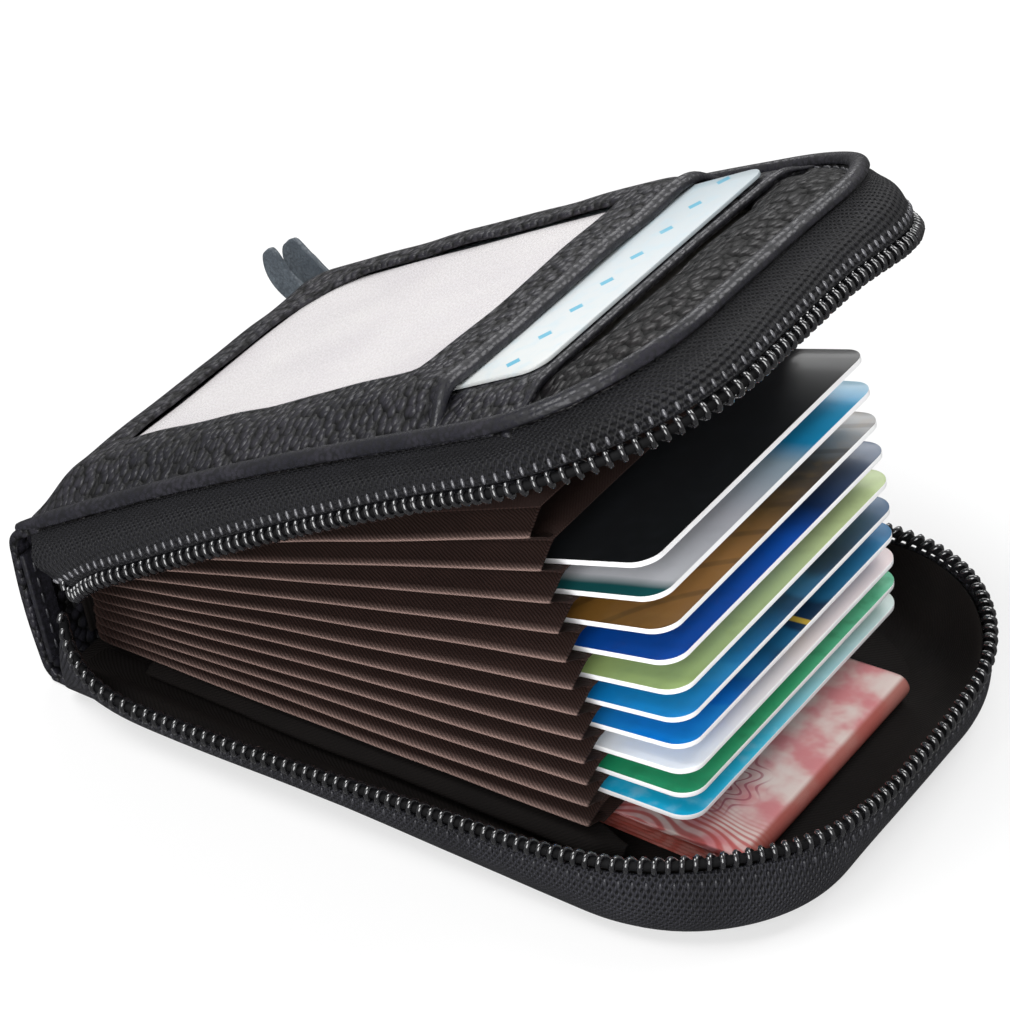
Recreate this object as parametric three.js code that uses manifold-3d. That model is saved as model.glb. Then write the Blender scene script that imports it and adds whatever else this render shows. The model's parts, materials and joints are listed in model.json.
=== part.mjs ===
// Zip-around accordion card wallet, standing open on its back cover. Millimetres, +Z up.
// It is drawn shut, with x = 0 at the outside of the spine, and opened by nested groups.
// The origin is the middle of the back cover's outer face.
import * as THREE from 'three';
import { mergeVertices } from 'three/addons/utils/BufferGeometryUtils.js';
import Module from 'manifold-3d';

// Cards and the pleated pockets that hold them
const cardLength = 85.6;
const cardWidth = 53.98;
const cardThickness = 0.76;
const cardCornerRadius = 3.18;
const cardClearance = 0.16;
const pocketCount = 12;
const leafThickness = 0.22;
const leafMargin = 1.3;
const leafReach = 79;
const leafStart = 1.2;
const pivotInset = 2;
const pocketFloor = 5.7;
const pleatDepth = 3.6;
const pleatRearDepth = 2.2;
const pleatSheet = 0.24;
const pleatCorner = 3;
const pleatHem = 0.2;
const stackClearance = 0.3;

// How far the wallet stands open, in degrees
const firstLeafTilt = 1.7;
const pocketTilt = 1.2;
const pocketTiltGrowth = 0.1;
const coverTilt = 31;
const spineLean = 12;

// Covers: leather, stiffening board and lining
const leatherThickness = 1.3;
const boardThickness = 0.5;
const liningThickness = 0.5;
const layerGap = 0.1;
const sideAllowance = 5.11;
const endAllowance = 13.2;
const cornerRadius = 21.5;
const spineGap = 0.3;
const liningInset = 1.2;
const spineTrim = 1;

// Zip: a woven tape wall with a nylon coil along its edge on each half
const tapeThickness = 0.7;
const seamWidth = 5;
const tapeStart = 3;
const tapeFlare = 3.6;
const lowerTapeHeight = 6.9;
const upperTapeHeight = 5.4;
const nearTapeHeight = 4.6;
const nearTapeFlare = 5.6;
const coilHeight = 2.5;
const coilThickness = 1.8;
const coilChamfer = 0.5;

// Front of the wallet: window pocket over a card slot over the padded panel
const panelCrown = 0.8;
const panelShoulder = 8;
const slotPanelThickness = 0.6;
const slotPanelReach = 90;
const windowLeather = 1;
const windowCrown = 3;
const spineShoulder = 6.5;
const sideSeam = 1.5;
const windowLength = 55.5;
const windowStrip = 9;
const windowWidth = 46;
const windowCorner = 2;
const filmThickness = 0.4;
const filmHem = 3;
const slipLength = 80;
const slipThickness = 0.5;
const slipMargin = 1.2;

// Folded notes lying in the floor of the wallet
const noteLength = 48;
const noteWidth = 43;
const noteThickness = 1.6;
const noteEndGap = 4.5;
const noteOffset = -3;

// Slider on the far run of the lower coil, with its pull and doubled leather strap
const sliderStart = 1.2;
const sliderLength = 9;
const sliderPlate = 0.9;
const sliderClearance = 0.3;
const sliderWing = 2;
const pinRadius = 0.5;
const pinStandoff = 2.6;
const eyeWall = 0.7;
const eyeHeight = 2;
const eyeClearance = 0.3;
const loopLength = 7;
const loopHeight = 7.8;
const loopWire = 1;
const strapWidth = 3.2;
const strapThickness = 0.9;
const strapLength = 19;
const strapSplay = 5;
const strapRise = 22;

// Derived sizes
const rad = THREE.MathUtils.degToRad;
const leafPitch = leafThickness + cardThickness + 2 * cardClearance;
const leafHalfWidth = cardWidth / 2 + leafMargin;
const coverWidth = 2 * (leafHalfWidth + pleatDepth + sideAllowance);
const coverLength = pivotInset + pocketFloor + cardLength + endAllowance;
const halfWidth = coverWidth / 2;
const boardBottom = leatherThickness + layerGap;
const boardTop = boardBottom + boardThickness;
const liningBottom = boardTop + layerGap;
const liningTop = liningBottom + liningThickness;
const noteBottom = liningTop + layerGap;
const firstLeafHeight = noteBottom + noteThickness + stackClearance + leafThickness / 2;
const lastLeafHeight = firstLeafHeight + pocketCount * leafPitch;
const frontLiningBottom = lastLeafHeight + leafThickness / 2 + stackClearance;
const frontBoardBottom = frontLiningBottom + liningThickness + layerGap;
const frontPanelBottom = frontBoardBottom + boardThickness + layerGap;
const frontRim = frontPanelBottom + leatherThickness;
const spineHingeX = -spineGap - leatherThickness / 2;
const spineHingeZ = leatherThickness / 2;
const spineCrease = frontPanelBottom + leatherThickness / 2;
const plateau = cardWidth / 2 + slipMargin;
const slipStart = spineTrim + sideSeam + spineShoulder;
const windowStart = slipStart + filmHem;
const windowEnd = windowStart + windowLength;
const windowReach = windowEnd + windowStrip;

const wasm = await Module();
wasm.setup();

const smooth = (t) => THREE.MathUtils.smoothstep(t, 0, 1);
const point = (x, y, z) => new THREE.Vector3(x, y, z);

// Turns every face outwards and shades the solid
function solid(points, faces) {
  const volume = faces.reduce((sum, [a, b, c]) => {
    const cross = new THREE.Vector3().crossVectors(points[b], points[c]);
    return sum + points[a].dot(cross);
  }, 0);
  const turned = volume < 0 ? faces.map(([a, b, c]) => [a, c, b]) : faces;
  const geometry = new THREE.BufferGeometry().setFromPoints(points);
  geometry.setIndex(turned.flat());
  geometry.computeVertexNormals();
  return geometry;
}

// A solid through rings of equally many points, closed by flat ends of the given section
function loft(rings, section) {
  const count = section.length;
  const points = rings.flat();
  const faces = [];
  for (let ring = 0; ring + 1 < rings.length; ring += 1) {
    for (let side = 0; side < count; side += 1) {
      const a = ring * count + side;
      const b = ring * count + ((side + 1) % count);
      faces.push([a, b, b + count], [a, b + count, a + count]);
    }
  }
  const last = points.length - count;
  const area = THREE.ShapeUtils.area(section);
  for (const [a, b, c] of THREE.ShapeUtils.triangulateShape(section, [])) {
    const corner = THREE.ShapeUtils.area([section[a], section[b], section[c]]);
    const [d, e] = corner * area > 0 ? [b, c] : [c, b];
    faces.push([a, e, d], [last + a, last + d, last + e]);
  }
  return solid(points, faces);
}

// A sheet on a grid of stations, between two heights given at each place
function sheet(stations, spread, half, bottom, top) {
  const rows = spread.length;
  const points = [];
  for (const height of [bottom, top]) {
    for (const x of stations) {
      points.push(...spread.map((share) => point(x, share * half(x), height(x, share * half(x)))));
    }
  }
  const lift = points.length / 2;
  const faces = [];
  const quad = (a, b, c, d) => faces.push([a, b, c], [a, c, d]);
  for (let i = 0; i < stations.length; i += 1) {
    for (let j = 0; j < rows; j += 1) {
      const at = i * rows + j;
      const inX = i + 1 < stations.length;
      const inY = j + 1 < rows;
      if (inX && inY) {
        quad(at, at + 1, at + rows + 1, at + rows);
        quad(lift + at, lift + at + rows, lift + at + rows + 1, lift + at + 1);
      }
      if (inX && j === 0) quad(at, at + rows, lift + at + rows, lift + at);
      if (inX && !inY) quad(at, lift + at, lift + at + rows, at + rows);
      if (inY && i === 0) quad(at, lift + at, lift + at + 1, at + 1);
      if (inY && !inX) quad(at, at + 1, lift + at + 1, lift + at);
    }
  }
  return solid(points, faces);
}

function manifold(geometry) {
  const bare = geometry.clone();
  bare.deleteAttribute('normal');
  bare.deleteAttribute('uv');
  const merged = mergeVertices(bare, 1e-5);
  const triVerts = new Uint32Array(merged.index.array);
  const vertProperties = new Float32Array(merged.attributes.position.array);
  return new wasm.Manifold(new wasm.Mesh({ numProp: 3, vertProperties, triVerts }));
}

function geometryOf(body) {
  const mesh = body.getMesh();
  const geometry = new THREE.BufferGeometry();
  geometry.setAttribute('position', new THREE.BufferAttribute(mesh.vertProperties, 3));
  geometry.setIndex(new THREE.BufferAttribute(mesh.triVerts, 1));
  geometry.computeVertexNormals();
  return geometry;
}

const joined = (...geometries) => geometryOf(geometries.map(manifold).reduce((a, b) => a.add(b)));
const cut = (from, tool) => geometryOf(manifold(from).subtract(manifold(tool)));

function plate(shape, bottom, thickness, curveSegments = 8) {
  const settings = { depth: thickness, bevelEnabled: false, curveSegments };
  return new THREE.ExtrudeGeometry(shape, settings).translate(0, 0, bottom);
}

function box(low, high) {
  const size = high.clone().sub(low);
  const middle = low.clone().add(high).multiplyScalar(0.5);
  return new THREE.BoxGeometry(size.x, size.y, size.z).translate(middle.x, middle.y, middle.z);
}

// The cover's outline drawn in by an inset, square at the spine and round at the free end
function coverShape(start, inset) {
  const half = halfWidth - inset;
  const end = coverLength - inset;
  const radius = Math.max(cornerRadius - inset, 1);
  const shape = new THREE.Shape();
  shape.moveTo(start, -half);
  shape.lineTo(end - radius, -half);
  shape.absarc(end - radius, -half + radius, radius, -Math.PI / 2, 0);
  shape.absarc(end - radius, half - radius, radius, 0, Math.PI / 2);
  shape.lineTo(start, half);
  shape.closePath();
  return shape;
}

function roundedShape(x0, x1, width, radius) {
  const half = width / 2;
  const shape = new THREE.Shape();
  shape.moveTo(x0 + radius, -half);
  shape.absarc(x1 - radius, -half + radius, radius, -Math.PI / 2, 0);
  shape.absarc(x1 - radius, half - radius, radius, 0, Math.PI / 2);
  shape.absarc(x0 + radius, half - radius, radius, Math.PI / 2, Math.PI);
  shape.absarc(x0 + radius, -half + radius, radius, Math.PI, 1.5 * Math.PI);
  return shape;
}

// Stops along the zip: near run from the spine, round the free end, back along the far run
function zipPath() {
  const straight = 6;
  const turn = 7;
  const bend = coverLength - cornerRadius;
  const path = [];
  for (let i = 0; i < straight; i += 1) {
    const share = i / straight;
    path.push({ x: tapeStart + share * (bend - tapeStart), y: -halfWidth, nx: 0, ny: -1, share });
  }
  for (const side of [-1, 1]) {
    for (let i = 0; i <= turn; i += 1) {
      const angle = (side < 0 ? -Math.PI / 2 : 0) + (i / turn) * (Math.PI / 2);
      const [nx, ny] = [Math.cos(angle), Math.sin(angle)];
      const y = side * (halfWidth - cornerRadius) + cornerRadius * ny;
      path.push({ x: bend + cornerRadius * nx, y, nx, ny, share: 1 });
    }
  }
  path.push({ x: tapeStart, y: halfWidth, nx: 0, ny: 1, share: 1 });
  return path;
}

// Sweeps a section of (outward, height) points, given at each stop, along the zip
function alongZip(sectionAt) {
  const rings = zipPath().map((stop) => sectionAt(stop).map(([out, height]) => (
    point(stop.x + stop.nx * out, stop.y + stop.ny * out, height))));
  const section = sectionAt({ share: 1 }).map(([out, height]) => new THREE.Vector2(out, height));
  return loft(rings, section);
}

const lowerTop = ({ share }) => {
  const t = smooth(share);
  const height = THREE.MathUtils.lerp(nearTapeHeight, lowerTapeHeight, t);
  return [THREE.MathUtils.lerp(nearTapeFlare, tapeFlare, t), boardTop + height];
};
const upperTop = () => [tapeFlare, frontBoardBottom - upperTapeHeight];

function tapeSection([flare, edge], outerFace, innerFace) {
  return [
    [-seamWidth, outerFace],
    [0, outerFace],
    [flare, edge],
    [flare - tapeThickness, edge],
    [-tapeThickness, innerFace],
    [-seamWidth, innerFace],
  ];
}

function coilSection([flare, edge], direction) {
  const middle = flare - tapeThickness / 2;
  const near = edge + direction * layerGap;
  const far = near + direction * coilHeight;
  const half = coilThickness / 2;
  return [
    [middle - half, near + direction * coilChamfer],
    [middle - half + coilChamfer, near],
    [middle + half - coilChamfer, near],
    [middle + half, near + direction * coilChamfer],
    [middle + half, far - direction * coilChamfer],
    [middle + half - coilChamfer, far],
    [middle - half + coilChamfer, far],
    [middle - half, far - direction * coilChamfer],
  ];
}

// Heights of the front, which swells from its rim to a flat middle
function swell(y) {
  return 1 - smooth((Math.abs(y) - plateau) / (halfWidth - sideSeam - plateau));
}

function panelTop(x, y) {
  const fromSpine = smooth((x - spineTrim) / panelShoulder);
  const fromEnd = smooth((coverLength - x) / panelShoulder);
  return frontRim + panelCrown * fromSpine * fromEnd * swell(y);
}

const slotPanelTop = (x, y) => panelTop(x, y) + layerGap + slotPanelThickness;
const slipBottom = frontRim + panelCrown + slotPanelThickness + 2 * layerGap;

function windowBottom(x, y) {
  const fromSpine = smooth((x - spineTrim - sideSeam) / spineShoulder);
  const overPanel = panelTop(x, y) - frontRim;
  return frontRim + layerGap + overPanel + (windowCrown - panelCrown) * fromSpine * swell(y);
}

// Half the width of the cover at a place along it, round at the free end
function coverHalf(x) {
  const past = Math.max(x - (coverLength - cornerRadius), 0);
  return halfWidth - cornerRadius + Math.sqrt(Math.max(cornerRadius ** 2 - past ** 2, 0));
}

function evenly(from, to, steps) {
  return Array.from({ length: steps + 1 }, (_, i) => from + (i / steps) * (to - from));
}

// Places across the width, closer together where the front swells
function across(half) {
  const flat = Math.min(plateau / half, 0.9);
  const shoulder = [1, 0.75, 0.5, 0.25, 0].map((t) => flat + t * (1 - flat));
  return [...shoulder.map((t) => -t), ...shoulder.reverse()];
}

function frontPanel() {
  const bend = coverLength - cornerRadius;
  const round = [0.3, 0.55, 0.75, 0.9, 0.97].map((t) => bend + t * cornerRadius);
  const spineEnd = evenly(spineTrim, spineTrim + panelShoulder, 3);
  const stations = [...spineEnd, bend, ...round, coverLength];
  return sheet(stations, across(halfWidth), coverHalf, () => frontPanelBottom, panelTop);
}

function slotPanel() {
  const start = slipStart - spineShoulder / 2;
  const stations = [...evenly(start, spineTrim + panelShoulder, 2), slotPanelReach];
  const half = () => plateau;
  return sheet(stations, [-1, 1], half, (x, y) => panelTop(x, y) + layerGap, slotPanelTop);
}

function windowPanel() {
  const rise = evenly(spineTrim + sideSeam, spineTrim + sideSeam + spineShoulder, 4);
  const stations = [spineTrim, ...rise, windowReach];
  const top = (x, y) => windowBottom(x, y) + windowLeather;
  const skin = sheet(stations, across(halfWidth), () => halfWidth, windowBottom, top);
  const hole = roundedShape(windowStart, windowEnd, windowWidth, windowCorner);
  return cut(skin, plate(hole, frontRim, 2 * (windowCrown + windowLeather), 4));
}

function idWindow() {
  const filmWidth = windowWidth + filmHem;
  const shape = roundedShape(windowStart - filmHem, windowEnd + filmHem, filmWidth, windowCorner);
  const ceiling = frontRim + layerGap + windowCrown;
  return plate(shape, ceiling - layerGap - filmThickness, filmThickness, 4);
}

function card() {
  const shape = roundedShape(pocketFloor, pocketFloor + cardLength, cardWidth, cardCornerRadius);
  return plate(shape, leafThickness / 2 + cardClearance, cardThickness, 4);
}

function slipCard() {
  const shape = roundedShape(slipStart, slipStart + slipLength, cardWidth, cardCornerRadius);
  return plate(shape, slipBottom, slipThickness, 4);
}

function leaf() {
  const half = leafThickness / 2;
  return box(point(leafStart, -leafHalfWidth, -half), point(leafReach, leafHalfWidth, half));
}

// The folded side and floor of one pocket: a V that opens with the leaf above it
function pleat(tilt) {
  const slope = Math.tan(rad(tilt));
  const hemHalf = leafHalfWidth - pleatHem;
  const rear = pocketFloor - leafMargin;
  const centre = rear + pleatCorner;
  const steps = 4;
  const stops = [{ x: leafReach, y: -hemHalf, angle: -Math.PI / 2 }];
  for (const side of [-1, 1]) {
    const from = side < 0 ? -Math.PI / 2 : Math.PI;
    for (let i = 0; i <= steps; i += 1) {
      const angle = from - (i / steps) * (Math.PI / 2);
      const y = side * (hemHalf - pleatCorner) + pleatCorner * Math.sin(angle);
      stops.push({ x: centre + pleatCorner * Math.cos(angle), y, angle });
    }
  }
  stops.push({ x: leafReach, y: hemHalf, angle: Math.PI / 2 });
  const low = leafThickness / 2 + layerGap;
  const high = (x) => leafPitch + x * slope - low / Math.cos(rad(tilt));
  const sectionAt = ({ x, angle }) => {
    const [nx, ny] = [Math.cos(angle), Math.sin(angle)];
    const depth = THREE.MathUtils.lerp(pleatRearDepth, pleatDepth, Math.abs(ny));
    const middle = (out) => (low + high(x + nx * out)) / 2;
    return [
      [0, low],
      [depth, middle(depth)],
      [0, high(x)],
      [0, high(x) - pleatSheet],
      [depth - 2 * pleatSheet, middle(depth)],
      [0, low + pleatSheet],
    ];
  };
  const rings = stops.map((stop) => sectionAt(stop).map(([out, height]) => (
    point(stop.x + out * Math.cos(stop.angle), stop.y + out * Math.sin(stop.angle), height))));
  const section = sectionAt(stops[0]).map(([out, height]) => new THREE.Vector2(out, height));
  return loft(rings, section);
}

function noteBundle() {
  const end = coverLength - tapeThickness - noteEndGap;
  const outline = roundedShape(end - noteLength, end, noteWidth, noteThickness / 2);
  return plate(outline, noteBottom, noteThickness, 3).translate(0, noteOffset, 0);
}

// Places of the slider's two plates beside the coil, and of the pin outside them
const eyeRadius = pinRadius + eyeClearance + eyeWall;
const loopStart = pinRadius + eyeClearance + eyeWall / 2;
const [farFlare, farEdge] = lowerTop({ share: 1 });
const coilMiddle = halfWidth + farFlare - tapeThickness / 2;
const channelHalf = coilThickness / 2 + sliderClearance;
const sliderInside = coilMiddle - channelHalf - sliderPlate;
const sliderOutside = coilMiddle + channelHalf + sliderPlate;
const pinPlace = point(
  sliderStart + sliderLength / 2,
  sliderOutside + Math.max(pinStandoff, eyeRadius + eyeClearance),
  farEdge + layerGap + coilHeight / 2 + sliderPlate,
);

// A channel over the coil, with wings above it and an upright pin for the pull
function sliderBody() {
  const end = sliderStart + sliderLength;
  const low = farEdge + layerGap;
  const roof = low + coilHeight + sliderClearance;
  const high = roof + sliderPlate + sliderWing;
  const innerPlate = box(
    point(sliderStart, sliderInside, low),
    point(end, sliderInside + sliderPlate, high),
  );
  const outerPlate = box(
    point(sliderStart, sliderOutside - sliderPlate, low),
    point(end, sliderOutside, high),
  );
  const bridge = box(
    point(sliderStart, sliderInside, roof),
    point(end, sliderOutside, roof + sliderPlate),
  );
  const { x, y, z } = pinPlace;
  const reach = eyeHeight / 2 + eyeClearance;
  const pinHalf = reach + sliderPlate;
  const pin = new THREE.CylinderGeometry(pinRadius, pinRadius, 2 * pinHalf, 10);
  pin.rotateX(Math.PI / 2).translate(x, y, z);
  const lugs = [-1, 1].map((side) => box(
    point(x - pinRadius, sliderOutside - sliderPlate, z + Math.min(side * reach, side * pinHalf)),
    point(x + pinRadius, y, z + Math.max(side * reach, side * pinHalf)),
  ));
  return joined(innerPlate, outerPlate, bridge, pin, ...lugs);
}

// The pull lies along -X from the pin: an eye, then a loop for the strap

function pullLoop() {
  const eye = new THREE.Shape();
  eye.absarc(0, 0, eyeRadius, 0, 2 * Math.PI);
  const bore = new THREE.Path();
  bore.absarc(0, 0, pinRadius + eyeClearance, 0, 2 * Math.PI, true);
  eye.holes.push(bore);
  const ring = plate(eye, -eyeHeight / 2, eyeHeight, 10);
  const half = loopHeight / 2;
  const wire = loopWire / 2;
  const far = -loopStart - loopLength;
  const outside = box(point(far, -wire, -half), point(-loopStart, wire, half));
  const opening = box(
    point(far + loopWire, -loopWire, -half + loopWire),
    point(-loopStart - loopWire - eyeWall, loopWire, half - loopWire),
  );
  return joined(ring, cut(outside, opening));
}

// One strap folded round the loop's end bar, its two tongues splayed apart
function pullStrap() {
  const slant = (strapWidth / 2) * Math.tan(rad(strapRise));
  const inside = loopWire / 2 + eyeClearance + slant;
  const outside = inside + strapThickness;
  const splay = rad(strapSplay);
  const turn = Math.PI / 2 + splay;
  const along = (radius, side, length) => new THREE.Vector2(
    Math.sin(splay) * radius - Math.cos(splay) * length,
    side * (Math.cos(splay) * radius + Math.sin(splay) * length),
  );
  const shape = new THREE.Shape();
  const start = along(outside, -1, strapLength);
  shape.moveTo(start.x, start.y);
  shape.absarc(0, 0, outside, -turn + 2 * splay, turn - 2 * splay);
  const tips = [along(outside, 1, strapLength), along(inside, 1, strapLength)];
  tips.forEach((tip) => shape.lineTo(tip.x, tip.y));
  shape.absarc(0, 0, inside, turn - 2 * splay, -turn + 2 * splay, true);
  const last = along(inside, -1, strapLength);
  shape.lineTo(last.x, last.y);
  return plate(shape, -strapWidth / 2, strapWidth, 8);
}

// Colours and finishes, the cards' from the bottom pocket up
const leather = { color: 0x1b1a1c, roughness: 0.5 };
const lining = { color: 0x171312, roughness: 0.9 };
const boardGrey = { color: 0x77736c, roughness: 0.95 };
const tape = { color: 0x2a2a30, roughness: 0.85 };
const nylon = { color: 0x101012, roughness: 0.3 };
const pleatCloth = { color: 0x35241f, roughness: 0.9 };
const windowFilm = { color: 0xe6e2e2, roughness: 0.25 };
const paper = { color: 0xdfeaf0, roughness: 0.6 };
const notePaper = { color: 0xd99a9c, roughness: 0.8 };
const metal = { color: 0x3a3a3e, roughness: 0.35, metalness: 0.9 };
const strapLeather = { color: 0x3c3f43, roughness: 0.6 };
const cardColors = [
  0x35b6cf, 0x1f7f5c, 0xe9dfe2, 0x1d3a6d, 0x1b74b8, 0x87995a, 0x1f4fa3, 0x85602c, 0x6fa3c4, 0x17181a,
];

function add(parent, name, geometry, finish) {
  const mesh = new THREE.Mesh(geometry, new THREE.MeshStandardMaterial({ metalness: 0, ...finish }));
  mesh.name = name;
  parent.add(mesh);
  return mesh;
}

function hinged(parent, x, z, tilt) {
  const group = new THREE.Group();
  group.position.set(x, 0, z);
  group.rotation.y = -rad(tilt);
  parent.add(group);
  return group;
}

const two = (number) => String(number).padStart(2, '0');

const wallet = new THREE.Group();
wallet.position.x = -coverLength / 2;

// Back half
const boardShape = coverShape(seamWidth + spineGap, seamWidth + spineGap);
const backLining = plate(coverShape(liningInset, liningInset), liningBottom, liningThickness);
add(wallet, 'back_cover', plate(coverShape(0, 0), 0, leatherThickness), leather);
add(wallet, 'back_board', plate(boardShape, boardBottom, boardThickness, 4), boardGrey);
add(wallet, 'back_lining', backLining, lining);
const lowerTape = alongZip((stop) => tapeSection(lowerTop(stop), boardBottom, boardTop));
add(wallet, 'lower_zip_tape', lowerTape, tape);
add(wallet, 'lower_zip_coil', alongZip((stop) => coilSection(lowerTop(stop), 1)), nylon);
add(wallet, 'note_bundle', noteBundle(), notePaper);

// Spine and front cover, drawn about their creases
const spine = hinged(wallet, spineHingeX, spineHingeZ, spineLean);
const spineHeight = spineCrease - spineHingeZ;
const spineHalf = leatherThickness / 2;
const spineSkin = box(point(-spineHalf, -halfWidth, 0), point(spineHalf, halfWidth, spineHeight));
add(spine, 'spine_panel', spineSkin, leather);
const spineInner = spineHalf + layerGap;
const spineLining = box(
  point(spineInner, -leafHalfWidth, liningTop - spineHingeZ),
  point(spineInner + liningThickness, leafHalfWidth, frontLiningBottom - spineHingeZ - liningThickness),
);
add(spine, 'spine_lining', spineLining, lining);

const front = hinged(spine, 0, spineHeight, coverTilt - spineLean);
const drawn = new THREE.Group();
drawn.position.set(-spineHingeX, 0, -spineCrease);
front.add(drawn);
const frontLining = plate(coverShape(spineTrim, liningInset), frontLiningBottom, liningThickness);
add(drawn, 'front_lining', frontLining, lining);
add(drawn, 'front_board', plate(boardShape, frontBoardBottom, boardThickness, 4), boardGrey);
const frontBoardTop = frontBoardBottom + boardThickness;
const upperTape = alongZip(() => tapeSection(upperTop(), frontBoardTop, frontBoardBottom));
add(drawn, 'upper_zip_tape', upperTape, tape);
add(drawn, 'upper_zip_coil', alongZip(() => coilSection(upperTop(), -1)), nylon);
add(drawn, 'front_panel', frontPanel(), leather);
add(drawn, 'slot_panel', slotPanel(), leather);
add(drawn, 'slip_card', slipCard(), paper);
add(drawn, 'id_window', idWindow(), windowFilm);
add(drawn, 'window_panel', windowPanel(), leather);

// Accordion: each leaf is hinged on the one below it
let leafGroup = hinged(wallet, pivotInset, firstLeafHeight, firstLeafTilt);
for (let pocket = 0; pocket <= pocketCount; pocket += 1) {
  add(leafGroup, `leaf_${two(pocket)}`, leaf(), pleatCloth);
  if (pocket < pocketCount) {
    const tilt = pocketTilt + pocketTiltGrowth * (pocket + 1);
    add(leafGroup, `pleat_${two(pocket + 1)}`, pleat(tilt), pleatCloth);
    const color = cardColors[pocket - 1];
    if (color !== undefined) {
      add(leafGroup, `card_${two(pocket)}`, card(), { color, roughness: 0.35 });
    }
    leafGroup = hinged(leafGroup, 0, leafPitch, tilt);
  }
}

// Zip slider, parked at the far end of the spine
add(wallet, 'slider_body', sliderBody(), metal);
const pull = new THREE.Group();
pull.position.copy(pinPlace);
wallet.add(pull);
add(pull, 'pull_loop', pullLoop(), metal);
const strap = new THREE.Group();
strap.position.set(-loopStart - loopLength + loopWire / 2, 0, 0);
strap.rotation.y = rad(strapRise);
pull.add(strap);
add(strap, 'pull_strap', pullStrap(), strapLeather);

export default wallet;
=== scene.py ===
import json
import math
import bpy
from mathutils import Matrix, Vector, noise


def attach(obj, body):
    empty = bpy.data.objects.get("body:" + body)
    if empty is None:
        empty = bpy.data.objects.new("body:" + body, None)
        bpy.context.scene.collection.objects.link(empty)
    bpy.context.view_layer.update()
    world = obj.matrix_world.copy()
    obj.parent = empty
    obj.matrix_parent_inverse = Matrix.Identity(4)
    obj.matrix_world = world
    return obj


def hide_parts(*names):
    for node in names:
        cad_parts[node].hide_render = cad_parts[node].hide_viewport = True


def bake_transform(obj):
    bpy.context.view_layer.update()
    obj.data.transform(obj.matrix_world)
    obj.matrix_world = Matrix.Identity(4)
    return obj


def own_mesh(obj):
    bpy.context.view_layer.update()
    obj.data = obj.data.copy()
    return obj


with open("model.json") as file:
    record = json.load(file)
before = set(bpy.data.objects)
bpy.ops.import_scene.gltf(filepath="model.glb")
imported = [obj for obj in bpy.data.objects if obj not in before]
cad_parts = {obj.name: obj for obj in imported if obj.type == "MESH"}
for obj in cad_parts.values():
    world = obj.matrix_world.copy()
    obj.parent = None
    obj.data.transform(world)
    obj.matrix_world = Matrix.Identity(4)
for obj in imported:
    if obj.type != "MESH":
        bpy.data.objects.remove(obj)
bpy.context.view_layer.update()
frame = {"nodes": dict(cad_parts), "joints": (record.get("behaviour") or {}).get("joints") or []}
mm = 0.001  # every size below is in millimetres
print("frame loaded")

camera = {"target": (-3.25, 0, 15), "azimuth": 33.27, "elevation": 36.15, "distance": 513.1,
          "slide": (-1.73, 9.10), "roll": 0.36, "lens": 138.55}


def makeCamera(v):
    azimuth, elevation = math.radians(v["azimuth"]), math.radians(v["elevation"])
    back = Vector((math.sin(azimuth) * math.cos(elevation),
                   -math.cos(azimuth) * math.cos(elevation), math.sin(elevation)))
    right = Vector((math.cos(azimuth), math.sin(azimuth), 0))
    up = back.cross(right)
    place = Vector(v["target"]) + back * v["distance"] + right * v["slide"][0] + up * v["slide"][1]
    roll = math.radians(v["roll"])
    sideways = right * math.cos(roll) - up * math.sin(roll)
    upwards = right * math.sin(roll) + up * math.cos(roll)
    bpy.ops.object.camera_add()
    made = bpy.context.object
    turn = Matrix((sideways, upwards, back)).transposed().to_4x4()
    made.matrix_world = Matrix.Translation(place * mm) @ turn
    made.data.lens = v["lens"]
    made.data.sensor_width = 36
    made.data.clip_start = 0.01
    bpy.context.scene.camera = made


makeCamera(camera)


# node helpers

def shade(text):
    # a written colour such as "35241f", as the linear values that a socket takes
    parts = [int(text[i:i + 2], 16) / 255 for i in (0, 2, 4)]
    return [c / 12.92 if c <= 0.04045 else ((c + 0.055) / 1.055) ** 2.4 for c in parts] + [1]


def node(tree, kind, inputs={}, **settings):
    made = tree.nodes.new("ShaderNode" + kind)
    for key, value in settings.items():
        setattr(made, key, value)
    for socket, value in inputs.items():
        if isinstance(value, bpy.types.NodeSocket):
            tree.links.new(value, made.inputs[socket])
        else:
            made.inputs[socket].default_value = value
    return made


def grouped(tree, group, inputs):
    return node(tree, "Group", inputs, node_tree=group).outputs


def sums(tree, operation, *values):
    made = node(tree, "Math", dict(enumerate(values)), operation=operation)
    return made.outputs[0]


def mixed(tree, factor, first, second, kind="MIX"):
    made = node(tree, "Mix", {0: factor, 6: first, 7: second}, data_type="RGBA", blend_type=kind)
    return made.outputs[2]


def ranged(tree, value, low, high, toLow=0.0, toHigh=1.0):
    made = node(tree, "MapRange", {"Value": value, "From Min": low, "From Max": high,
                                   "To Min": toLow, "To Max": toHigh}, interpolation_type="SMOOTHSTEP")
    return made.outputs[0]


def newMaterial(name, constants):
    material = bpy.data.materials.new(name)
    material.use_nodes = True
    shader = material.node_tree.nodes["Principled BSDF"]
    for socket, value in constants.items():
        shader.inputs[socket].default_value = value
    return material, material.node_tree, shader


def feed(tree, shader, **sockets):
    for name, value in sockets.items():
        tree.links.new(value, shader.inputs[name.replace("_", " ")])


def bumped(tree, shader, height, depth):
    made = node(tree, "Bump", {"Height": height, "Distance": depth * mm, "Strength": 1.0})
    tree.links.new(made.outputs[0], shader.inputs["Normal"])


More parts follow.
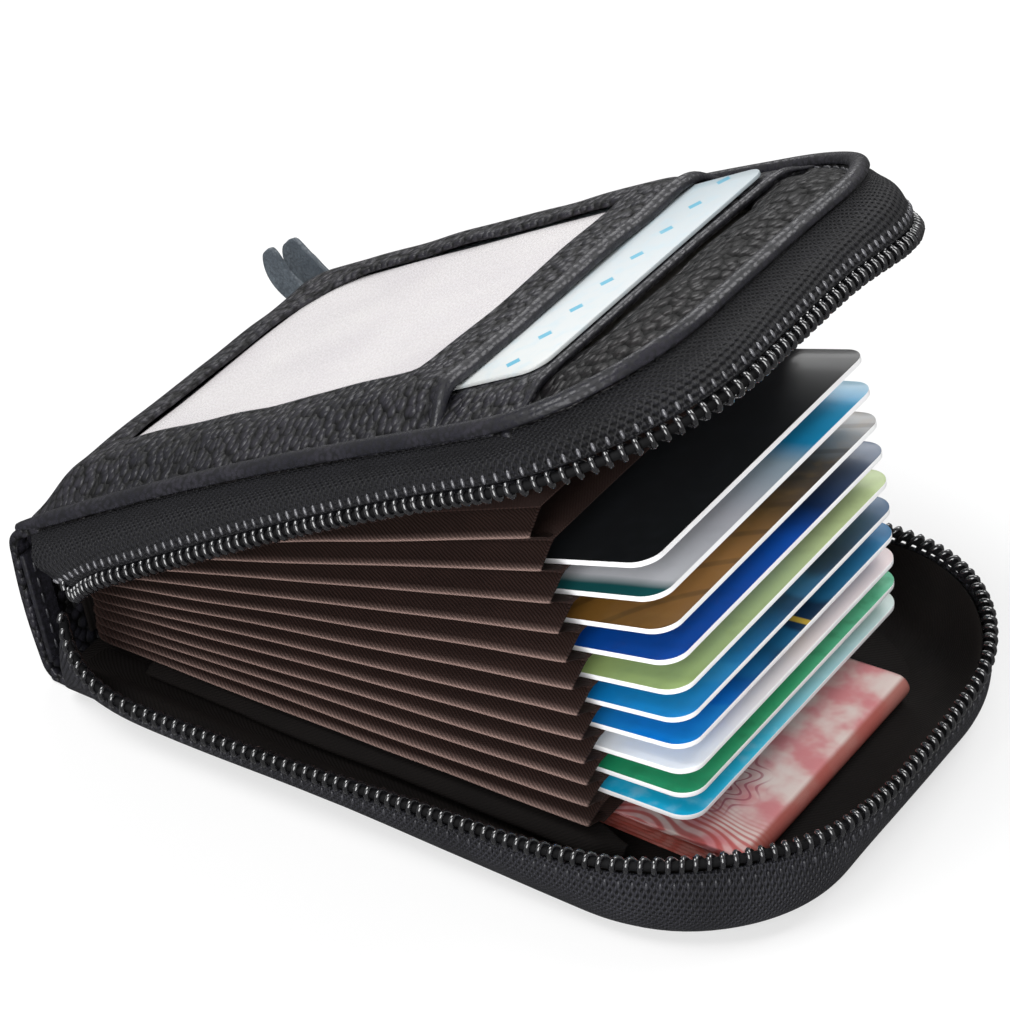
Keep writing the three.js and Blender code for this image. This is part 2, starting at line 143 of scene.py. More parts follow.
def newGroup(name, inputs, outputs):
    group = bpy.data.node_groups.new(name, "ShaderNodeTree")
    for title, kind in inputs:
        group.interface.new_socket(title, in_out="INPUT", socket_type="NodeSocket" + kind)
    for title in outputs:
        group.interface.new_socket(title, in_out="OUTPUT", socket_type="NodeSocketFloat")
    return group, group.nodes.new("NodeGroupInput").outputs, group.nodes.new("NodeGroupOutput").inputs


def scaled(tree, vector, scale):
    return node(tree, "VectorMath", {0: vector, "Scale": scale}, operation="SCALE").outputs[0]


def added(tree, vector, other, operation="ADD"):
    return node(tree, "VectorMath", {0: vector, 1: other}, operation=operation).outputs[0]


def distance(tree, vector):
    return node(tree, "VectorMath", {0: vector}, operation="LENGTH").outputs["Value"]


def cloudy(tree, vector, scale, detail):
    return node(tree, "TexNoise", {"Vector": vector, "Scale": scale, "Detail": detail}).outputs


def makePebbleGrain():
    # rounded leather pebbles between fine creases
    inputs = [("Vector", "Vector"), ("Size", "Float"), ("Wander", "Float")]
    group, given, out = newGroup("pebble grain", inputs, ["Height", "Crease", "Patch"])
    point = scaled(group, given["Vector"], sums(group, "DIVIDE", 1.0, given["Size"]))
    drift = added(group, cloudy(group, point, 0.7, 2.0)["Color"], (0.5, 0.5, 0.5), "SUBTRACT")
    spot = added(group, point, scaled(group, drift, given["Wander"]))
    voronoi = node(group, "TexVoronoi", {"Vector": spot, "Scale": 1.0, "Randomness": 0.85})
    cells = voronoi.outputs["Distance"]
    square = sums(group, "MULTIPLY", cells, cells)
    pebble = sums(group, "SUBTRACT", 1.0, sums(group, "MULTIPLY", square, 1.8))
    fine = cloudy(group, point, 3.0, 3.0)[0]
    wrinkle = cloudy(group, point, 0.4, 1.0)[0]
    patch = cloudy(group, point, 0.09, 2.0)[0]
    rough = sums(group, "MULTIPLY_ADD", fine, 0.12, pebble)
    height = sums(group, "MULTIPLY_ADD", wrinkle, 1.5, rough)
    group.links.new(height, out["Height"])
    # Crease is highest where the pebbles meet; the leathers paint their colour darker there, as painted shade, and
    # make it rougher
    group.links.new(ranged(group, cells, 0.3, 0.75), out["Crease"])
    group.links.new(ranged(group, patch, 0.35, 0.65), out["Patch"])
    return group


def makeThreadWeave():
    # threads crossing at a slant, counted along the cloth's own chart in millimetres
    inputs = [("Vector", "Vector"), ("Pitch", "Float"), ("Slant", "Float"), ("Cross", "Float")]
    group, given, out = newGroup("thread weave", inputs, ["Height", "Tone"])
    turn = node(group, "CombineXYZ", {"Z": given["Slant"]}).outputs[0]
    share = sums(group, "DIVIDE", 2 * math.pi, given["Pitch"])
    slack = scaled(group, cloudy(group, given["Vector"], 0.5, 2.0)["Color"], 0.25)
    loose = added(group, given["Vector"], slack)
    turned = node(group, "Mapping", {"Vector": loose, "Rotation": turn}).outputs[0]
    axes = node(group, "SeparateXYZ", {0: turned}).outputs
    rib = sums(group, "SINE", sums(group, "MULTIPLY", axes["X"], share))
    crossing = sums(group, "SINE", sums(group, "MULTIPLY", axes["Y"], share))
    height = sums(group, "MULTIPLY_ADD", sums(group, "MULTIPLY", rib, crossing), given["Cross"], rib)
    fuzz = cloudy(group, given["Vector"], 6.0, 2.0)[0]
    cloud = cloudy(group, given["Vector"], 0.12, 3.0)[0]
    group.links.new(sums(group, "MULTIPLY_ADD", fuzz, 0.8, height), out["Height"])
    group.links.new(ranged(group, cloud, 0.3, 0.7), out["Tone"])
    return group


pebbleGrain = makePebbleGrain()
threadWeave = makeThreadWeave()


def leatherMaterial(name, v):
    material, tree, shader = newMaterial(name, {
        "Specular IOR Level": v["gloss"], "Sheen Weight": v["sheen"], "Sheen Tint": shade(v["sheenTint"]),
        "Sheen Roughness": 0.4})
    coords = node(tree, "TexCoord").outputs["Object"]
    squeezed = node(tree, "Mapping", {"Vector": coords, "Scale": v["stretch"]}).outputs[0]
    grain = grouped(tree, pebbleGrain, {"Vector": squeezed, "Size": v["pebble"] * mm, "Wander": 0.3})
    tone = mixed(tree, grain["Patch"], shade(v["dark"]), shade(v["light"]))
    # the colour is painted darker where the pebbles meet, as painted shade in the creases, and made rougher there
    feed(tree, shader, Base_Color=mixed(tree, grain["Crease"], tone, shade(v["crease"])),
         Roughness=ranged(tree, grain["Crease"], 0.0, 1.0, v["rough"], v["rough"] + 0.25))
    bumped(tree, shader, grain["Height"], v["depth"])
    return material


def clothMaterial(name, v):
    material, tree, shader = newMaterial(name, {
        "Specular IOR Level": v["gloss"], "Sheen Weight": v["sheen"], "Sheen Tint": shade(v["sheenTint"]),
        "Roughness": v["rough"]})
    chart = node(tree, "UVMap").outputs[0]
    weave = grouped(tree, threadWeave, {"Vector": chart, "Pitch": v["pitch"], "Cross": v["cross"],
                                        "Slant": math.radians(v["slant"])})
    thread = ranged(tree, weave["Height"], -0.8, 1.6)
    tone = mixed(tree, weave["Tone"], shade(v["dark"]), shade(v["light"]))
    woven = mixed(tree, thread, shade(v["gap"]), tone)
    # pleat ridges painted lighter along the fold, brightest on the thread tops: partly the cloth's paler stressed
    # fold, partly a painted highlight
    if "ridge" in v:
        fold = node(tree, "Attribute", attribute_name="ridge").outputs["Fac"]
        bright = sums(tree, "MULTIPLY_ADD", thread, 0.5, 0.5)
        woven = mixed(tree, sums(tree, "MULTIPLY", fold, bright), woven, shade(v["ridge"]))
    feed(tree, shader, Base_Color=woven)
    bumped(tree, shader, weave["Height"], v["depth"])
    return material


def plainMaterial(name, v):
    # a smooth finish with fine mottling in its colour and gloss
    material, tree, shader = newMaterial(name, {
        "Specular IOR Level": v.get("gloss", 0.5), "Metallic": v.get("metal", 0.0),
        "Coat Weight": v.get("coat", 0.0)})
    coords = node(tree, "TexCoord").outputs["Object"]
    cloud = cloudy(tree, coords, v.get("cloud", 120.0), 4.0)[0]
    fine = cloudy(tree, coords, v.get("fine", 4000.0), 2.0)[0]
    share = ranged(tree, cloud, 0.3, 0.7)
    feed(tree, shader, Base_Color=mixed(tree, share, shade(v["dark"]), shade(v["light"])),
         Roughness=ranged(tree, fine, 0.2, 0.8, v["rough"], v["rough"] + 0.1))
    bumped(tree, shader, fine, v.get("depth", 0.004))
    return material


# crease: the colour painted into the creases between pebbles, as painted shade
leatherLook = {"dark": "1f1f25", "light": "2a292f", "crease": "050506", "gloss": 0.34, "sheen": 0.0,
               "sheenTint": "ffffff", "pebble": 1.3, "stretch": (1.05, 0.95, 1), "rough": 0.27}
tapeLook = {"dark": "111115", "light": "18181e", "gap": "050506", "gloss": 0.35, "sheen": 0.05,
            "sheenTint": "8f8f9c", "rough": 0.55, "pitch": 0.72, "slant": 48, "cross": 1.3, "depth": 0.16}
# ridge: the pleats' ridge colour, partly paler stressed cloth and partly a painted highlight
pleatLook = {"dark": "2a1915", "light": "34211c", "gap": "1d110e", "ridge": "a0857d", "gloss": 0.22,
             "sheen": 0.12, "sheenTint": "a08a82", "rough": 0.7, "pitch": 0.36, "slant": 58, "cross": 0.4,
             "depth": 0.03}
liningLook = {"dark": "0e0a09", "light": "15100e", "gap": "0b0807", "gloss": 0.2, "sheen": 0.05,
              "sheenTint": "6d5c55", "rough": 0.85, "pitch": 0.5, "slant": 45, "cross": 0.6, "depth": 0.015}

wrinkled = {**leatherLook, "stretch": (1.2, 0.8, 1), "rough": 0.33}
leather = leatherMaterial("pebbled black leather", {**wrinkled, "depth": 0.42})
panelHide = leatherMaterial("soft black leather", {
    **wrinkled, "dark": "121113", "light": "1b1819", "crease": "030303", "gloss": 0.22, "pebble": 1.5,
    "depth": 0.45})
bindingHide = leatherMaterial("smooth black binding", {
    **leatherLook, "crease": "16161a", "pebble": 0.7, "depth": 0.02})
strapHide = leatherMaterial("smooth grey strap", {
    **leatherLook, "dark": "4a5158", "light": "5a6269", "crease": "454c53", "pebble": 0.5, "depth": 0.04})
tapeCloth = clothMaterial("charcoal zip tape", tapeLook)
# a lighter copy of the same charcoal tape for the lower rim: painted light, standing in for light bounced up from
# the floor
litLowerTapeCloth = clothMaterial("charcoal zip tape with painted light", {
    **tapeLook, "dark": "24242a", "light": "313138", "pitch": 0.55, "depth": 0.1})
pleatCloth = clothMaterial("brown pocket cloth", pleatLook)
liningCloth = clothMaterial("dark lining cloth", liningLook)
nylon = plainMaterial("black nylon coil", {
    "dark": "101012", "light": "1a1a1d", "rough": 0.14, "gloss": 1.0, "coat": 1.0, "depth": 0.002})
thread = plainMaterial("waxed black thread", {
    "dark": "242428", "light": "36363b", "rough": 0.35, "gloss": 0.5, "coat": 0.2, "fine": 6000.0, "depth": 0.01})
# the upper coil's thread: the same black thread, painted lighter grey as painted highlights on its stitches
coilThread = plainMaterial("coil thread with painted highlights", {
    "dark": "3c3c40", "light": "5a5a5f", "rough": 0.25, "gloss": 0.8, "coat": 0.6, "fine": 6000.0, "depth": 0.01})
coilCord = plainMaterial("matt coil cord", {"dark": "060607", "light": "0b0b0d", "rough": 0.75, "gloss": 0.2})
gunmetal = plainMaterial("gunmetal", {"dark": "2d2d31", "light": "4a4a50", "rough": 0.26, "metal": 1.0})
milkyFilm = plainMaterial("milky film", {
    "dark": "d6d2d4", "light": "e0dddd", "rough": 0.22, "gloss": 0.5, "cloud": 45.0, "depth": 0.001})
cardCore = plainMaterial("white card core", {"dark": "f0f0f1", "light": "f7f7f8", "rough": 0.35})
boardGrey = plainMaterial("grey board", {"dark": "6e6a63", "light": "7d7971", "rough": 0.85, "depth": 0.02})
print("materials made")


# sizes read from the frame

joints = {joint["name"]: joint for joint in frame["joints"]}
pocketCount = 12


def pivot(name):
    return Vector(joints[name]["pos_m"]) / mm


def opened(name):
    return joints[name]["range_deg"][1]  # degrees that this fold stands open; it opens as far again


def turned(point, degrees):
    return Matrix.Translation(point) @ Matrix.Rotation(math.radians(degrees), 4, (0, -1, 0))


def flatBox(name, place=Matrix()):
    # lowest and highest corner of a node, laid back flat by undoing its place
    back = place.inverted()
    spots = [back @ (vertex.co / mm) for vertex in frame["nodes"][name].data.vertices]
    return tuple(Vector([pick(spot[i] for spot in spots) for i in range(3)]) for pick in (min, max))


leafPlaces = []
leafTilt = 0
for pocket in range(pocketCount + 1):
    leafTilt += opened(f"wall_fold_{pocket:02d}")
    leafPlaces.append(turned(pivot(f"wall_fold_{pocket:02d}"), leafTilt))

spineFoot, spineTop = pivot("spine_fold"), pivot("cover_fold")
spineHeight = (spineTop - spineFoot).length
spineLean, coverTilt = opened("spine_fold"), opened("spine_fold") + opened("cover_fold")
spinePlace = turned(spineFoot, spineLean)
coverPlace = turned(spineTop, coverTilt) @ Matrix.Translation(-(spineFoot + Vector((0, 0, spineHeight))))

coverLow, coverHigh = flatBox("back_cover")
spineEnd, freeEnd, halfWidth = coverLow.x, coverHigh.x, coverHigh.y
coverSpots = [vertex.co for vertex in frame["nodes"]["back_cover"].data.vertices]
bendStart = max(spot.x for spot in coverSpots if spot.y > (halfWidth - 0.01) * mm) / mm
corner = freeEnd - bendStart
frontLow, frontHigh = flatBox("front_panel", coverPlace)
filmLow, filmHigh = flatBox("id_window", coverPlace)
slipLow, slipHigh = flatBox("slip_card", coverPlace)
windowHigh = flatBox("window_panel", coverPlace)[1]
slotHigh = flatBox("slot_panel", coverPlace)[1]
leafHigh = flatBox("leaf_01", leafPlaces[1])[1]


# modelling helpers

def smooth(t):
    t = min(max(t, 0), 1)
    return t * t * (3 - 2 * t)


def lerp(a, b, t):
    return a + (b - a) * t


def steps(first, last, count):
    return [lerp(first, last, i / count) for i in range(count + 1)]


def wobble(a, b, size):
    return noise.noise(Vector((a, b, 0.5))) * size


def choose(piece):
    bpy.ops.object.select_all(action="DESELECT")
    piece.select_set(True)
    bpy.context.view_layer.objects.active = piece


def started(name, add, **settings):
    # a new primitive, alone in the selection
    bpy.ops.object.select_all(action="DESELECT")
    add(**settings)
    piece = bpy.context.object
    piece.name = name
    return piece


def gridSheet(name, along, across, place, chart=None):
    # a grid whose points go to place(a, b), with a chart in millimetres for its cloth
    piece = started(name, bpy.ops.mesh.primitive_grid_add, x_subdivisions=len(along) - 1,
                    y_subdivisions=len(across) - 1, size=2)
    spots = []
    for vertex in piece.data.vertices:
        i = round((vertex.co.x + 1) / 2 * (len(along) - 1))
        j = round((vertex.co.y + 1) / 2 * (len(across) - 1))
        spots.append((along[i], across[j]))
    for vertex, spot in zip(piece.data.vertices, spots):
        vertex.co = Vector(place(*spot)) * mm
    for loop, mapped in zip(piece.data.loops, piece.data.uv_layers.active.data):
        spot = spots[loop.vertex_index]
        mapped.uv = chart(*spot) if chart else spot
    return piece, spots


def mark(piece, name, values):
    piece.data.attributes.new(name, "FLOAT", "POINT").data.foreach_set("value", values)


def applied(piece, kind, **settings):
    choose(piece)
    modifier = piece.modifiers.new(kind.lower(), kind)
    for key, value in settings.items():
        setattr(modifier, key, value)
    bpy.ops.object.modifier_apply(modifier=modifier.name)


def edited(piece, *operations):
    # runs edit-mode operators on the whole piece
    choose(piece)
    bpy.ops.object.mode_set(mode="EDIT")
    bpy.ops.mesh.select_all(action="SELECT")
    for operation, settings in operations:
        operation(**settings)
    bpy.ops.object.mode_set(mode="OBJECT")


def editedPart(piece, kind, chosen, operation, **settings):
    # runs an edit-mode operator on the vertices, edges or faces that are chosen
    choose(piece)
    bpy.ops.object.mode_set(mode="EDIT")
    bpy.ops.mesh.select_mode(type=kind)
    bpy.ops.mesh.select_all(action="DESELECT")
    bpy.ops.object.mode_set(mode="OBJECT")
    parts = {"VERT": piece.data.vertices, "EDGE": piece.data.edges, "FACE": piece.data.polygons}
    for part in parts[kind]:
        part.select = chosen(part)
    bpy.ops.object.mode_set(mode="EDIT")
    operation(**settings)
    bpy.ops.mesh.select_mode(type="VERT")
    bpy.ops.object.mode_set(mode="OBJECT")


def facing(piece, direction):
    # turns an open sheet so that it faces that way
    total = sum((face.normal * face.area for face in piece.data.polygons), Vector())
    if total.dot(Vector(direction)) < 0:
        edited(piece, (bpy.ops.mesh.flip_normals, {}))


def thicken(piece, thickness, offset=0.0, levels=1):
    applied(piece, "SOLIDIFY", thickness=thickness * mm, offset=offset, use_even_offset=True)
    if levels:
        applied(piece, "SUBSURF", levels=levels, render_levels=levels)
    edited(piece, (bpy.ops.mesh.normals_make_consistent, {"inside": False}))
    choose(piece)
    bpy.ops.object.shade_smooth()


def put(piece, place):
    choose(piece)
    piece.matrix_world = Matrix.Translation(place.translation * mm) @ place.to_3x3().to_4x4()
    bpy.ops.object.transform_apply(location=True, rotation=True, scale=True)


def joinedPieces(name, pieces):
    choose(pieces[0])
    for piece in pieces:
        piece.select_set(True)
    if len(pieces) > 1:
        bpy.ops.object.join()
    made = bpy.context.object
    made.name = name
    made.data.name = name
    return made


def dress(piece, material, body, nodes=()):
    if not piece.data.materials:
        piece.data.materials.append(material)
    if body:
        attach(piece, body)
    if nodes:
        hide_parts(*nodes)
    return piece


def onCover(piece, material, nodes=()):
    # a piece modelled flat, laid on the front cover
    put(piece, coverPlace)
    return dress(piece, material, "front_cover", nodes)


def cutFrom(piece, width, length, held):
    # the flat size of a sheet before it was sewn in, in millimetres, is passed in but not used; the piece comes
    # back as it was
    return piece


def liftWeights(piece):
    # reads each point's share of the way up the fold, and does nothing with it
    shares = [0.0] * len(piece.data.vertices)
    piece.data.attributes["lift"].data.foreach_get("value", shares)


def uStop(run, along):
    # a place and its outward direction on a U: near side, end with two round corners, far side
    way = 1 if run["end"] > run["start"] else -1
    side, turn = run["half"] - run["corner"], math.pi / 2
    straight = abs(run["end"] - run["start"]) - run["corner"]
    arc = turn * run["corner"]
    across = 2 * side
    bend = run["end"] - way * run["corner"]
    if along < straight:
        x, y, angle = run["start"] + way * along, -side, 0
    elif along < straight + arc:
        x, y, angle = bend, -side, (along - straight) / run["corner"]
    elif along < straight + arc + across:
        x, y, angle = bend, -side + along - straight - arc, turn
    elif along < straight + 2 * arc + across:
        x, y, angle = bend, side, turn + (along - straight - arc - across) / run["corner"]
    else:
        x, y, angle = bend - way * (along - straight - 2 * arc - across), side, 2 * turn
    out = Vector((way * math.sin(angle), -math.cos(angle), 0))
    return Vector((x, y, 0)) + out * run["corner"], out


def uLength(run):
    straight = abs(run["end"] - run["start"]) - run["corner"]
    return 2 * straight + math.pi * run["corner"] + 2 * (run["half"] - run["corner"])


def softened(piece, edge):
    # bevels the sharp edges and shades the rest smooth
    applied(piece, "BEVEL", width=edge * mm, segments=2, limit_method="ANGLE", angle_limit=math.radians(50))
    choose(piece)
    bpy.ops.object.shade_smooth_by_angle(angle=math.radians(40))


def roundPlate(name, low, high, radii, edge, segments=10):
    # a plate with rounded corners, radii given for spine-end and free-end corners, and softened edges
    piece = started(name, bpy.ops.mesh.primitive_plane_add, size=1)
    size, middle = high - low, (high + low) / 2
    for vertex in piece.data.vertices:
        vertex.co = Vector((middle.x + vertex.co.x * size.x, middle.y + vertex.co.y * size.y, low.z)) * mm
    for end, radius in zip((low.x, high.x), radii):
        def atCorner(vertex):
            x, y = vertex.co.xy / mm
            return abs(x - end) < 1e-3 and abs(abs(y - middle.y) - size.y / 2) < 1e-3

        if radius:
            editedPart(piece, "VERT", atCorner, bpy.ops.mesh.bevel, offset=radius * mm, segments=segments,
                       affect="VERTICES")
    rise = {"TRANSFORM_OT_translate": {"value": (0, 0, size.z * mm)}}
    edited(piece, (bpy.ops.mesh.extrude_region_move, rise))
    edited(piece, (bpy.ops.mesh.normals_make_consistent, {"inside": False}))
    softened(piece, edge)
    for loop, mapped in zip(piece.data.loops, piece.data.uv_layers.active.data):
        mapped.uv = (piece.data.vertices[loop.vertex_index].co / mm - low).xy
    return piece


def block(name, low, high, radius, axis):
    # a block with its long corners rounded about an axis and its edges softened
    piece = started(name, bpy.ops.mesh.primitive_cube_add, size=1)
    low, high = Vector(low), Vector(high)
    for vertex in piece.data.vertices:
        vertex.co = Vector([lerp(low[i], high[i], vertex.co[i] + 0.5) for i in range(3)]) * mm

    def isLong(edge):
        a, b = (piece.data.vertices[i].co for i in edge.vertices)
        return abs((b - a).normalized()[axis]) > 0.99

    editedPart(piece, "EDGE", isLong, bpy.ops.mesh.bevel, offset=radius * mm, segments=5, affect="EDGES")
    softened(piece, 0.14)
    return piece


def tube(name, points, radius, sides=1, cyclic=False):
    # a round wire through the points
    curve = bpy.data.curves.new(name, "CURVE")
    curve.dimensions = "3D"
    curve.bevel_depth = radius * mm
    curve.bevel_resolution = sides
    curve.use_fill_caps = True
    spline = curve.splines.new("POLY")
    spline.points.add(len(points) - 1)
    for spot, point in zip(spline.points, points):
        spot.co = (*(Vector(point) * mm), 1)
    spline.use_cyclic_u = cyclic
    piece = bpy.data.objects.new(name, curve)
    bpy.context.collection.objects.link(piece)
    choose(piece)
    bpy.ops.object.convert(target="MESH")
    bpy.ops.object.shade_smooth()
    return bpy.context.object


def stitchRow(name, places, length, width):
    # one stitch, copied to every (middle, direction)
    first = started(name, bpy.ops.mesh.primitive_uv_sphere_add, segments=8, ring_count=5, radius=0.5)
    edited(first, (bpy.ops.transform.resize, {"value": (length * mm, width * mm, width * mm)}))
    choose(first)
    bpy.ops.object.shade_smooth()
    copies = []
    for middle, direction in places:
        turn = Vector(direction).to_track_quat("X", "Z").to_matrix().to_4x4()
        copy = first.copy()
        copy.data = first.data.copy()
        copy.data.transform(Matrix.Translation(Vector(middle) * mm) @ turn)
        bpy.context.collection.objects.link(copy)
        copies.append(copy)
    bpy.data.objects.remove(first)
    return joinedPieces(name, copies)


# zip tapes and coils

def through(points, share):
    # a smooth line through the points, from the first at 0 to the last at 1
    place = min(max(share, 0), 1) * (len(points) - 1)
    i = min(int(place), len(points) - 2)
    t = place - i
    four = [points[max(i - 1, 0)], points[i], points[i + 1], points[min(i + 2, len(points) - 1)]]
    return [0.5 * (2 * b + (c - a) * t + (2 * a - 5 * b + 4 * c - d) * t ** 2
                   + (3 * b - a - 3 * c + d) * t ** 3) for a, b, c, d in zip(*four)]


lowerTapeLow, lowerTapeHigh = flatBox("lower_zip_tape")
upperTapeLow = flatBox("upper_zip_tape", coverPlace)[0]
rimStart = lowerTapeLow.x
rim = {"start": rimStart, "end": freeEnd, "half": halfWidth, "corner": corner}
rimLength = uLength(rim)
nearRun = bendStart - rimStart
nearCorner = nearRun + math.pi * corner / 4
tapeStops = steps(0, rimLength, 170)
tapeRows = [0, 0.1, 0.2, 0.3, 0.4, 0.5, 0.6, 0.67, 0.74, 0.8, 0.85, 0.9, 0.95, 1]
tapeShape = {"width": 11.0, "thickness": 0.7, "root": 1.6, "belly": 0.3, "wave": 0.2}
lowerShape = {"seat": 0.4, "foot": [(0.3, 0), (1.6, 0.45), (2.2, 1.7)], "waist": 2.4, "flare": 3.6,
              "nearFlare": 5.6, "nearDrop": 3.3, "cornerFlare": 1.2, "cornerRise": 2.4, "farFlare": 2.7,
              "farRise": 2.1, "cornerReach": 12.0, "endReach": 16.0, "endShift": 4.2, "endRise": 10.5,
              "keep": 0.82}
upperShape = {"seat": 0.2, "foot": [(-0.9, 0), (-0.1, 0.45), (0.6, 1.6)], "waist": 1.2, "flare": 3.6,
              "arch": 2.2, "endReach": 14.0, "endShift": 6.0, "farShift": 9.0, "tuckReach": 4.0, "tuckRise": 2.2,
              "endSag": 1.8, "farSag": 0.8, "cornerFlare": 2.6, "cornerDrop": 2.3, "rimArch": 1.1,
              "rimSag": 0.35, "archShare": 0.75}
coilShape = {"height": 2.6, "depth": 2.2, "wire": 0.4, "pitch": 1.55, "stops": 12, "core": 0.6,
             "lift": 0.42, "threadRow": 0.92, "stitch": (1.25, 0.5)}
cornerHalf = math.pi * corner / 4 + lowerShape["cornerReach"]


def bump(along, middle, reach):
    return smooth(1 - abs(along - middle) / reach)


def lowerStop(along):
    # where the lower tape's edge runs: a place on the rim, outward direction, flare and height
    spot, out = uStop(rim, along)
    v = lowerShape
    share = smooth(along / nearRun) ** 1.4
    near, far = bump(along, nearCorner, cornerHalf), bump(along, rimLength - nearCorner, cornerHalf)
    flare = lerp(lerp(v["nearFlare"], v["flare"], share), v["cornerFlare"], near)
    flare = lerp(flare, v["farFlare"], far)
    height = lowerTapeHigh.z - v["nearDrop"] * (1 - share) + v["cornerRise"] * near + v["farRise"] * far
    if along < v["endReach"]:  # the near end turns up inside the spine
        t = along / v["endReach"]
        spot.x = rimStart + v["endShift"] + (v["endReach"] - v["endShift"]) * t ** 1.8
        height += v["endRise"] * (1 - t) ** 2.2
    return spot, out, flare, height


def rimArch(x):
    # the front cover's long edges rise in the middle and dip towards the free end
    share = (x - spineEnd) / (freeEnd - spineEnd)
    turn = upperShape["archShare"]
    if share < turn:
        return upperShape["rimArch"] * math.sin(math.pi * max(share, 0) / turn)
    return -upperShape["rimSag"] * math.sin(math.pi * min((share - turn) / (1 - turn), 1))


hangShape = {"far": 1.0, "spine": 1.4, "spineReach": 36.0, "end": 0.8, "endReach": 40.0, "start": 24.0}


def coverDip(x, y):
    # the front cover hangs a little along its far side, most at the two corners
    v = hangShape
    across = smooth((y - v["start"]) / (halfWidth - v["start"]))
    atSpine = v["spine"] * smooth(1 - (x - spineEnd) / v["spineReach"])
    atEnd = v["end"] * smooth(1 - (freeEnd - x) / v["endReach"])
    return across * (v["far"] + atSpine) + smooth(y / halfWidth) * atEnd


def upperStop(along):
    # the same for the upper tape, laid flat with the cover
    spot, out = uStop(rim, along)
    v = upperShape
    share = min(max((spot.x - spineEnd) / (freeEnd - spineEnd), 0), 1)
    height = upperTapeLow.z + v["arch"] * math.sin(math.pi * share ** 1.3)
    far = bump(along, rimLength - nearCorner, cornerHalf)
    height -= v["cornerDrop"] * far + coverDip(spot.x, spot.y)
    ends = min(along, rimLength - along)
    if ends < v["endReach"]:  # both ends sag, then turn up and are tucked in
        side = "end" if along < rimLength / 2 else "far"
        shift, sag = v[side + "Shift"], v[side + "Sag"]
        spot.x = rimStart + shift + (v["endReach"] - shift) * (ends / v["endReach"]) ** 1.5
        height -= sag * (1 - ends / v["endReach"]) ** 2
        height += v["tuckRise"] * max(1 - ends / v["tuckReach"], 0) ** 2
    return spot, out, lerp(v["flare"], v["cornerFlare"], far), height


def tapeSection(shape, flare, tall):
    # the tape's cut across, from its sewn root to its edge
    edge = flare - tapeShape["thickness"] / 2
    middle = (lerp(shape["waist"], edge, 0.5) + tapeShape["belly"], 0.5 * tall)
    return [(-tapeShape["root"], 0), *shape["foot"], middle, (edge, tall)]


def tapePoint(tape, along, share):
    # a place on the tape's cloth, share of the way from its root to its edge
    spot, out, flare, edge = tape["stop"](along)
    plain = uStop(rim, along)[0]
    root = tape["root"](plain)
    reach, rise = through(tapeSection(tape["shape"], flare, abs(edge - root)), share)
    reach += wobble(along * 0.08, share * 2, tapeShape["wave"]) * share
    return plain.lerp(spot, share ** tape["ease"]) + out * reach + Vector((0, 0, root + tape["way"] * rise))


def makeTape(name, tape):
    width = tapeShape["width"]
    piece, _ = gridSheet(name, tapeStops, tapeRows, lambda along, share: tapePoint(tape, along, share),
                         lambda along, share: (along, share * width))
    thicken(piece, tapeShape["thickness"])
    return cutFrom(piece, width, rimLength, "stretched")


def coilMiddle(tape, along):
    spot, out, flare, edge = tape["stop"](along)
    middle = spot + out * (flare - tapeShape["thickness"] / 2)
    return middle + Vector((0, 0, edge + tape["way"] * coilShape["height"] * coilShape["lift"])), out


def makeCoil(name, tape):
    # every turn stands upright in front and crosses to the next one behind a cord
    turns = round(rimLength / coilShape["pitch"])
    wire = coilShape["wire"]
    points = []
    for i in range(turns * coilShape["stops"] + 1):
        turn, share = divmod(i / coilShape["stops"], 1)
        along = (turn + smooth((share - 0.22) / 0.56)) * rimLength / turns
        middle, out = coilMiddle(tape, along)
        angle = 2 * math.pi * share
        points.append(middle + out * (coilShape["depth"] / 2 - wire) * math.cos(angle)
                      + Vector((0, 0, (coilShape["height"] / 2 - wire) * math.sin(angle))))
    helix = tube(name, points, wire)
    helix.data.materials.append(nylon)
    cord = tube("cord", [coilMiddle(tape, along)[0] for along in tapeStops], coilShape["core"], 2)
    cord.data.materials.append(coilCord)
    return joinedPieces(name, [helix, cord])


def makeCoilStitches(name, tape):
    # the thread that sews the coil to its tape, one stitch to a turn
    turns = round(rimLength / coilShape["pitch"])
    places = []
    for i in range(1, turns - 1):
        along = rimLength * (i + 0.5) / turns
        middle, edge = (tapePoint(tape, along, share) for share in (coilShape["threadRow"], 1))
        outward = uStop(rim, along)[1] * tapeShape["thickness"] / 2
        places.append((middle + outward, edge - middle))
    return stitchRow(name, places, *coilShape["stitch"])


def lowerRoot(spot):
    return coverHigh.z + lowerShape["seat"]


def upperRoot(spot):
    return frontLow.z + upperShape["seat"] + rimArch(spot.x) - coverDip(spot.x, spot.y)


lowerZip = {"stop": lowerStop, "shape": lowerShape, "root": lowerRoot, "way": 1, "ease": 3}
upperZip = {"stop": upperStop, "shape": upperShape, "root": upperRoot, "way": -1, "ease": 7}


def giveWay(piece):
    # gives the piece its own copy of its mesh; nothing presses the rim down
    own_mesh(piece)


lowerTape = makeTape("tape_lower", lowerZip)
giveWay(dress(lowerTape, litLowerTapeCloth, "back_half", ["lower_zip_tape"]))
lowerCoil = makeCoil("coil_lower", lowerZip)
giveWay(dress(lowerCoil, nylon, "back_half", ["lower_zip_coil"]))
giveWay(dress(makeCoilStitches("coil_thread_lower", lowerZip), thread, "back_half"))
onCover(makeTape("tape_upper", upperZip), tapeCloth, ["upper_zip_tape"])
onCover(makeCoil("coil_upper", upperZip), nylon, ["upper_zip_coil"])
onCover(makeCoilStitches("coil_thread_upper", upperZip), coilThread)
print("zip made")


# back cover and linings

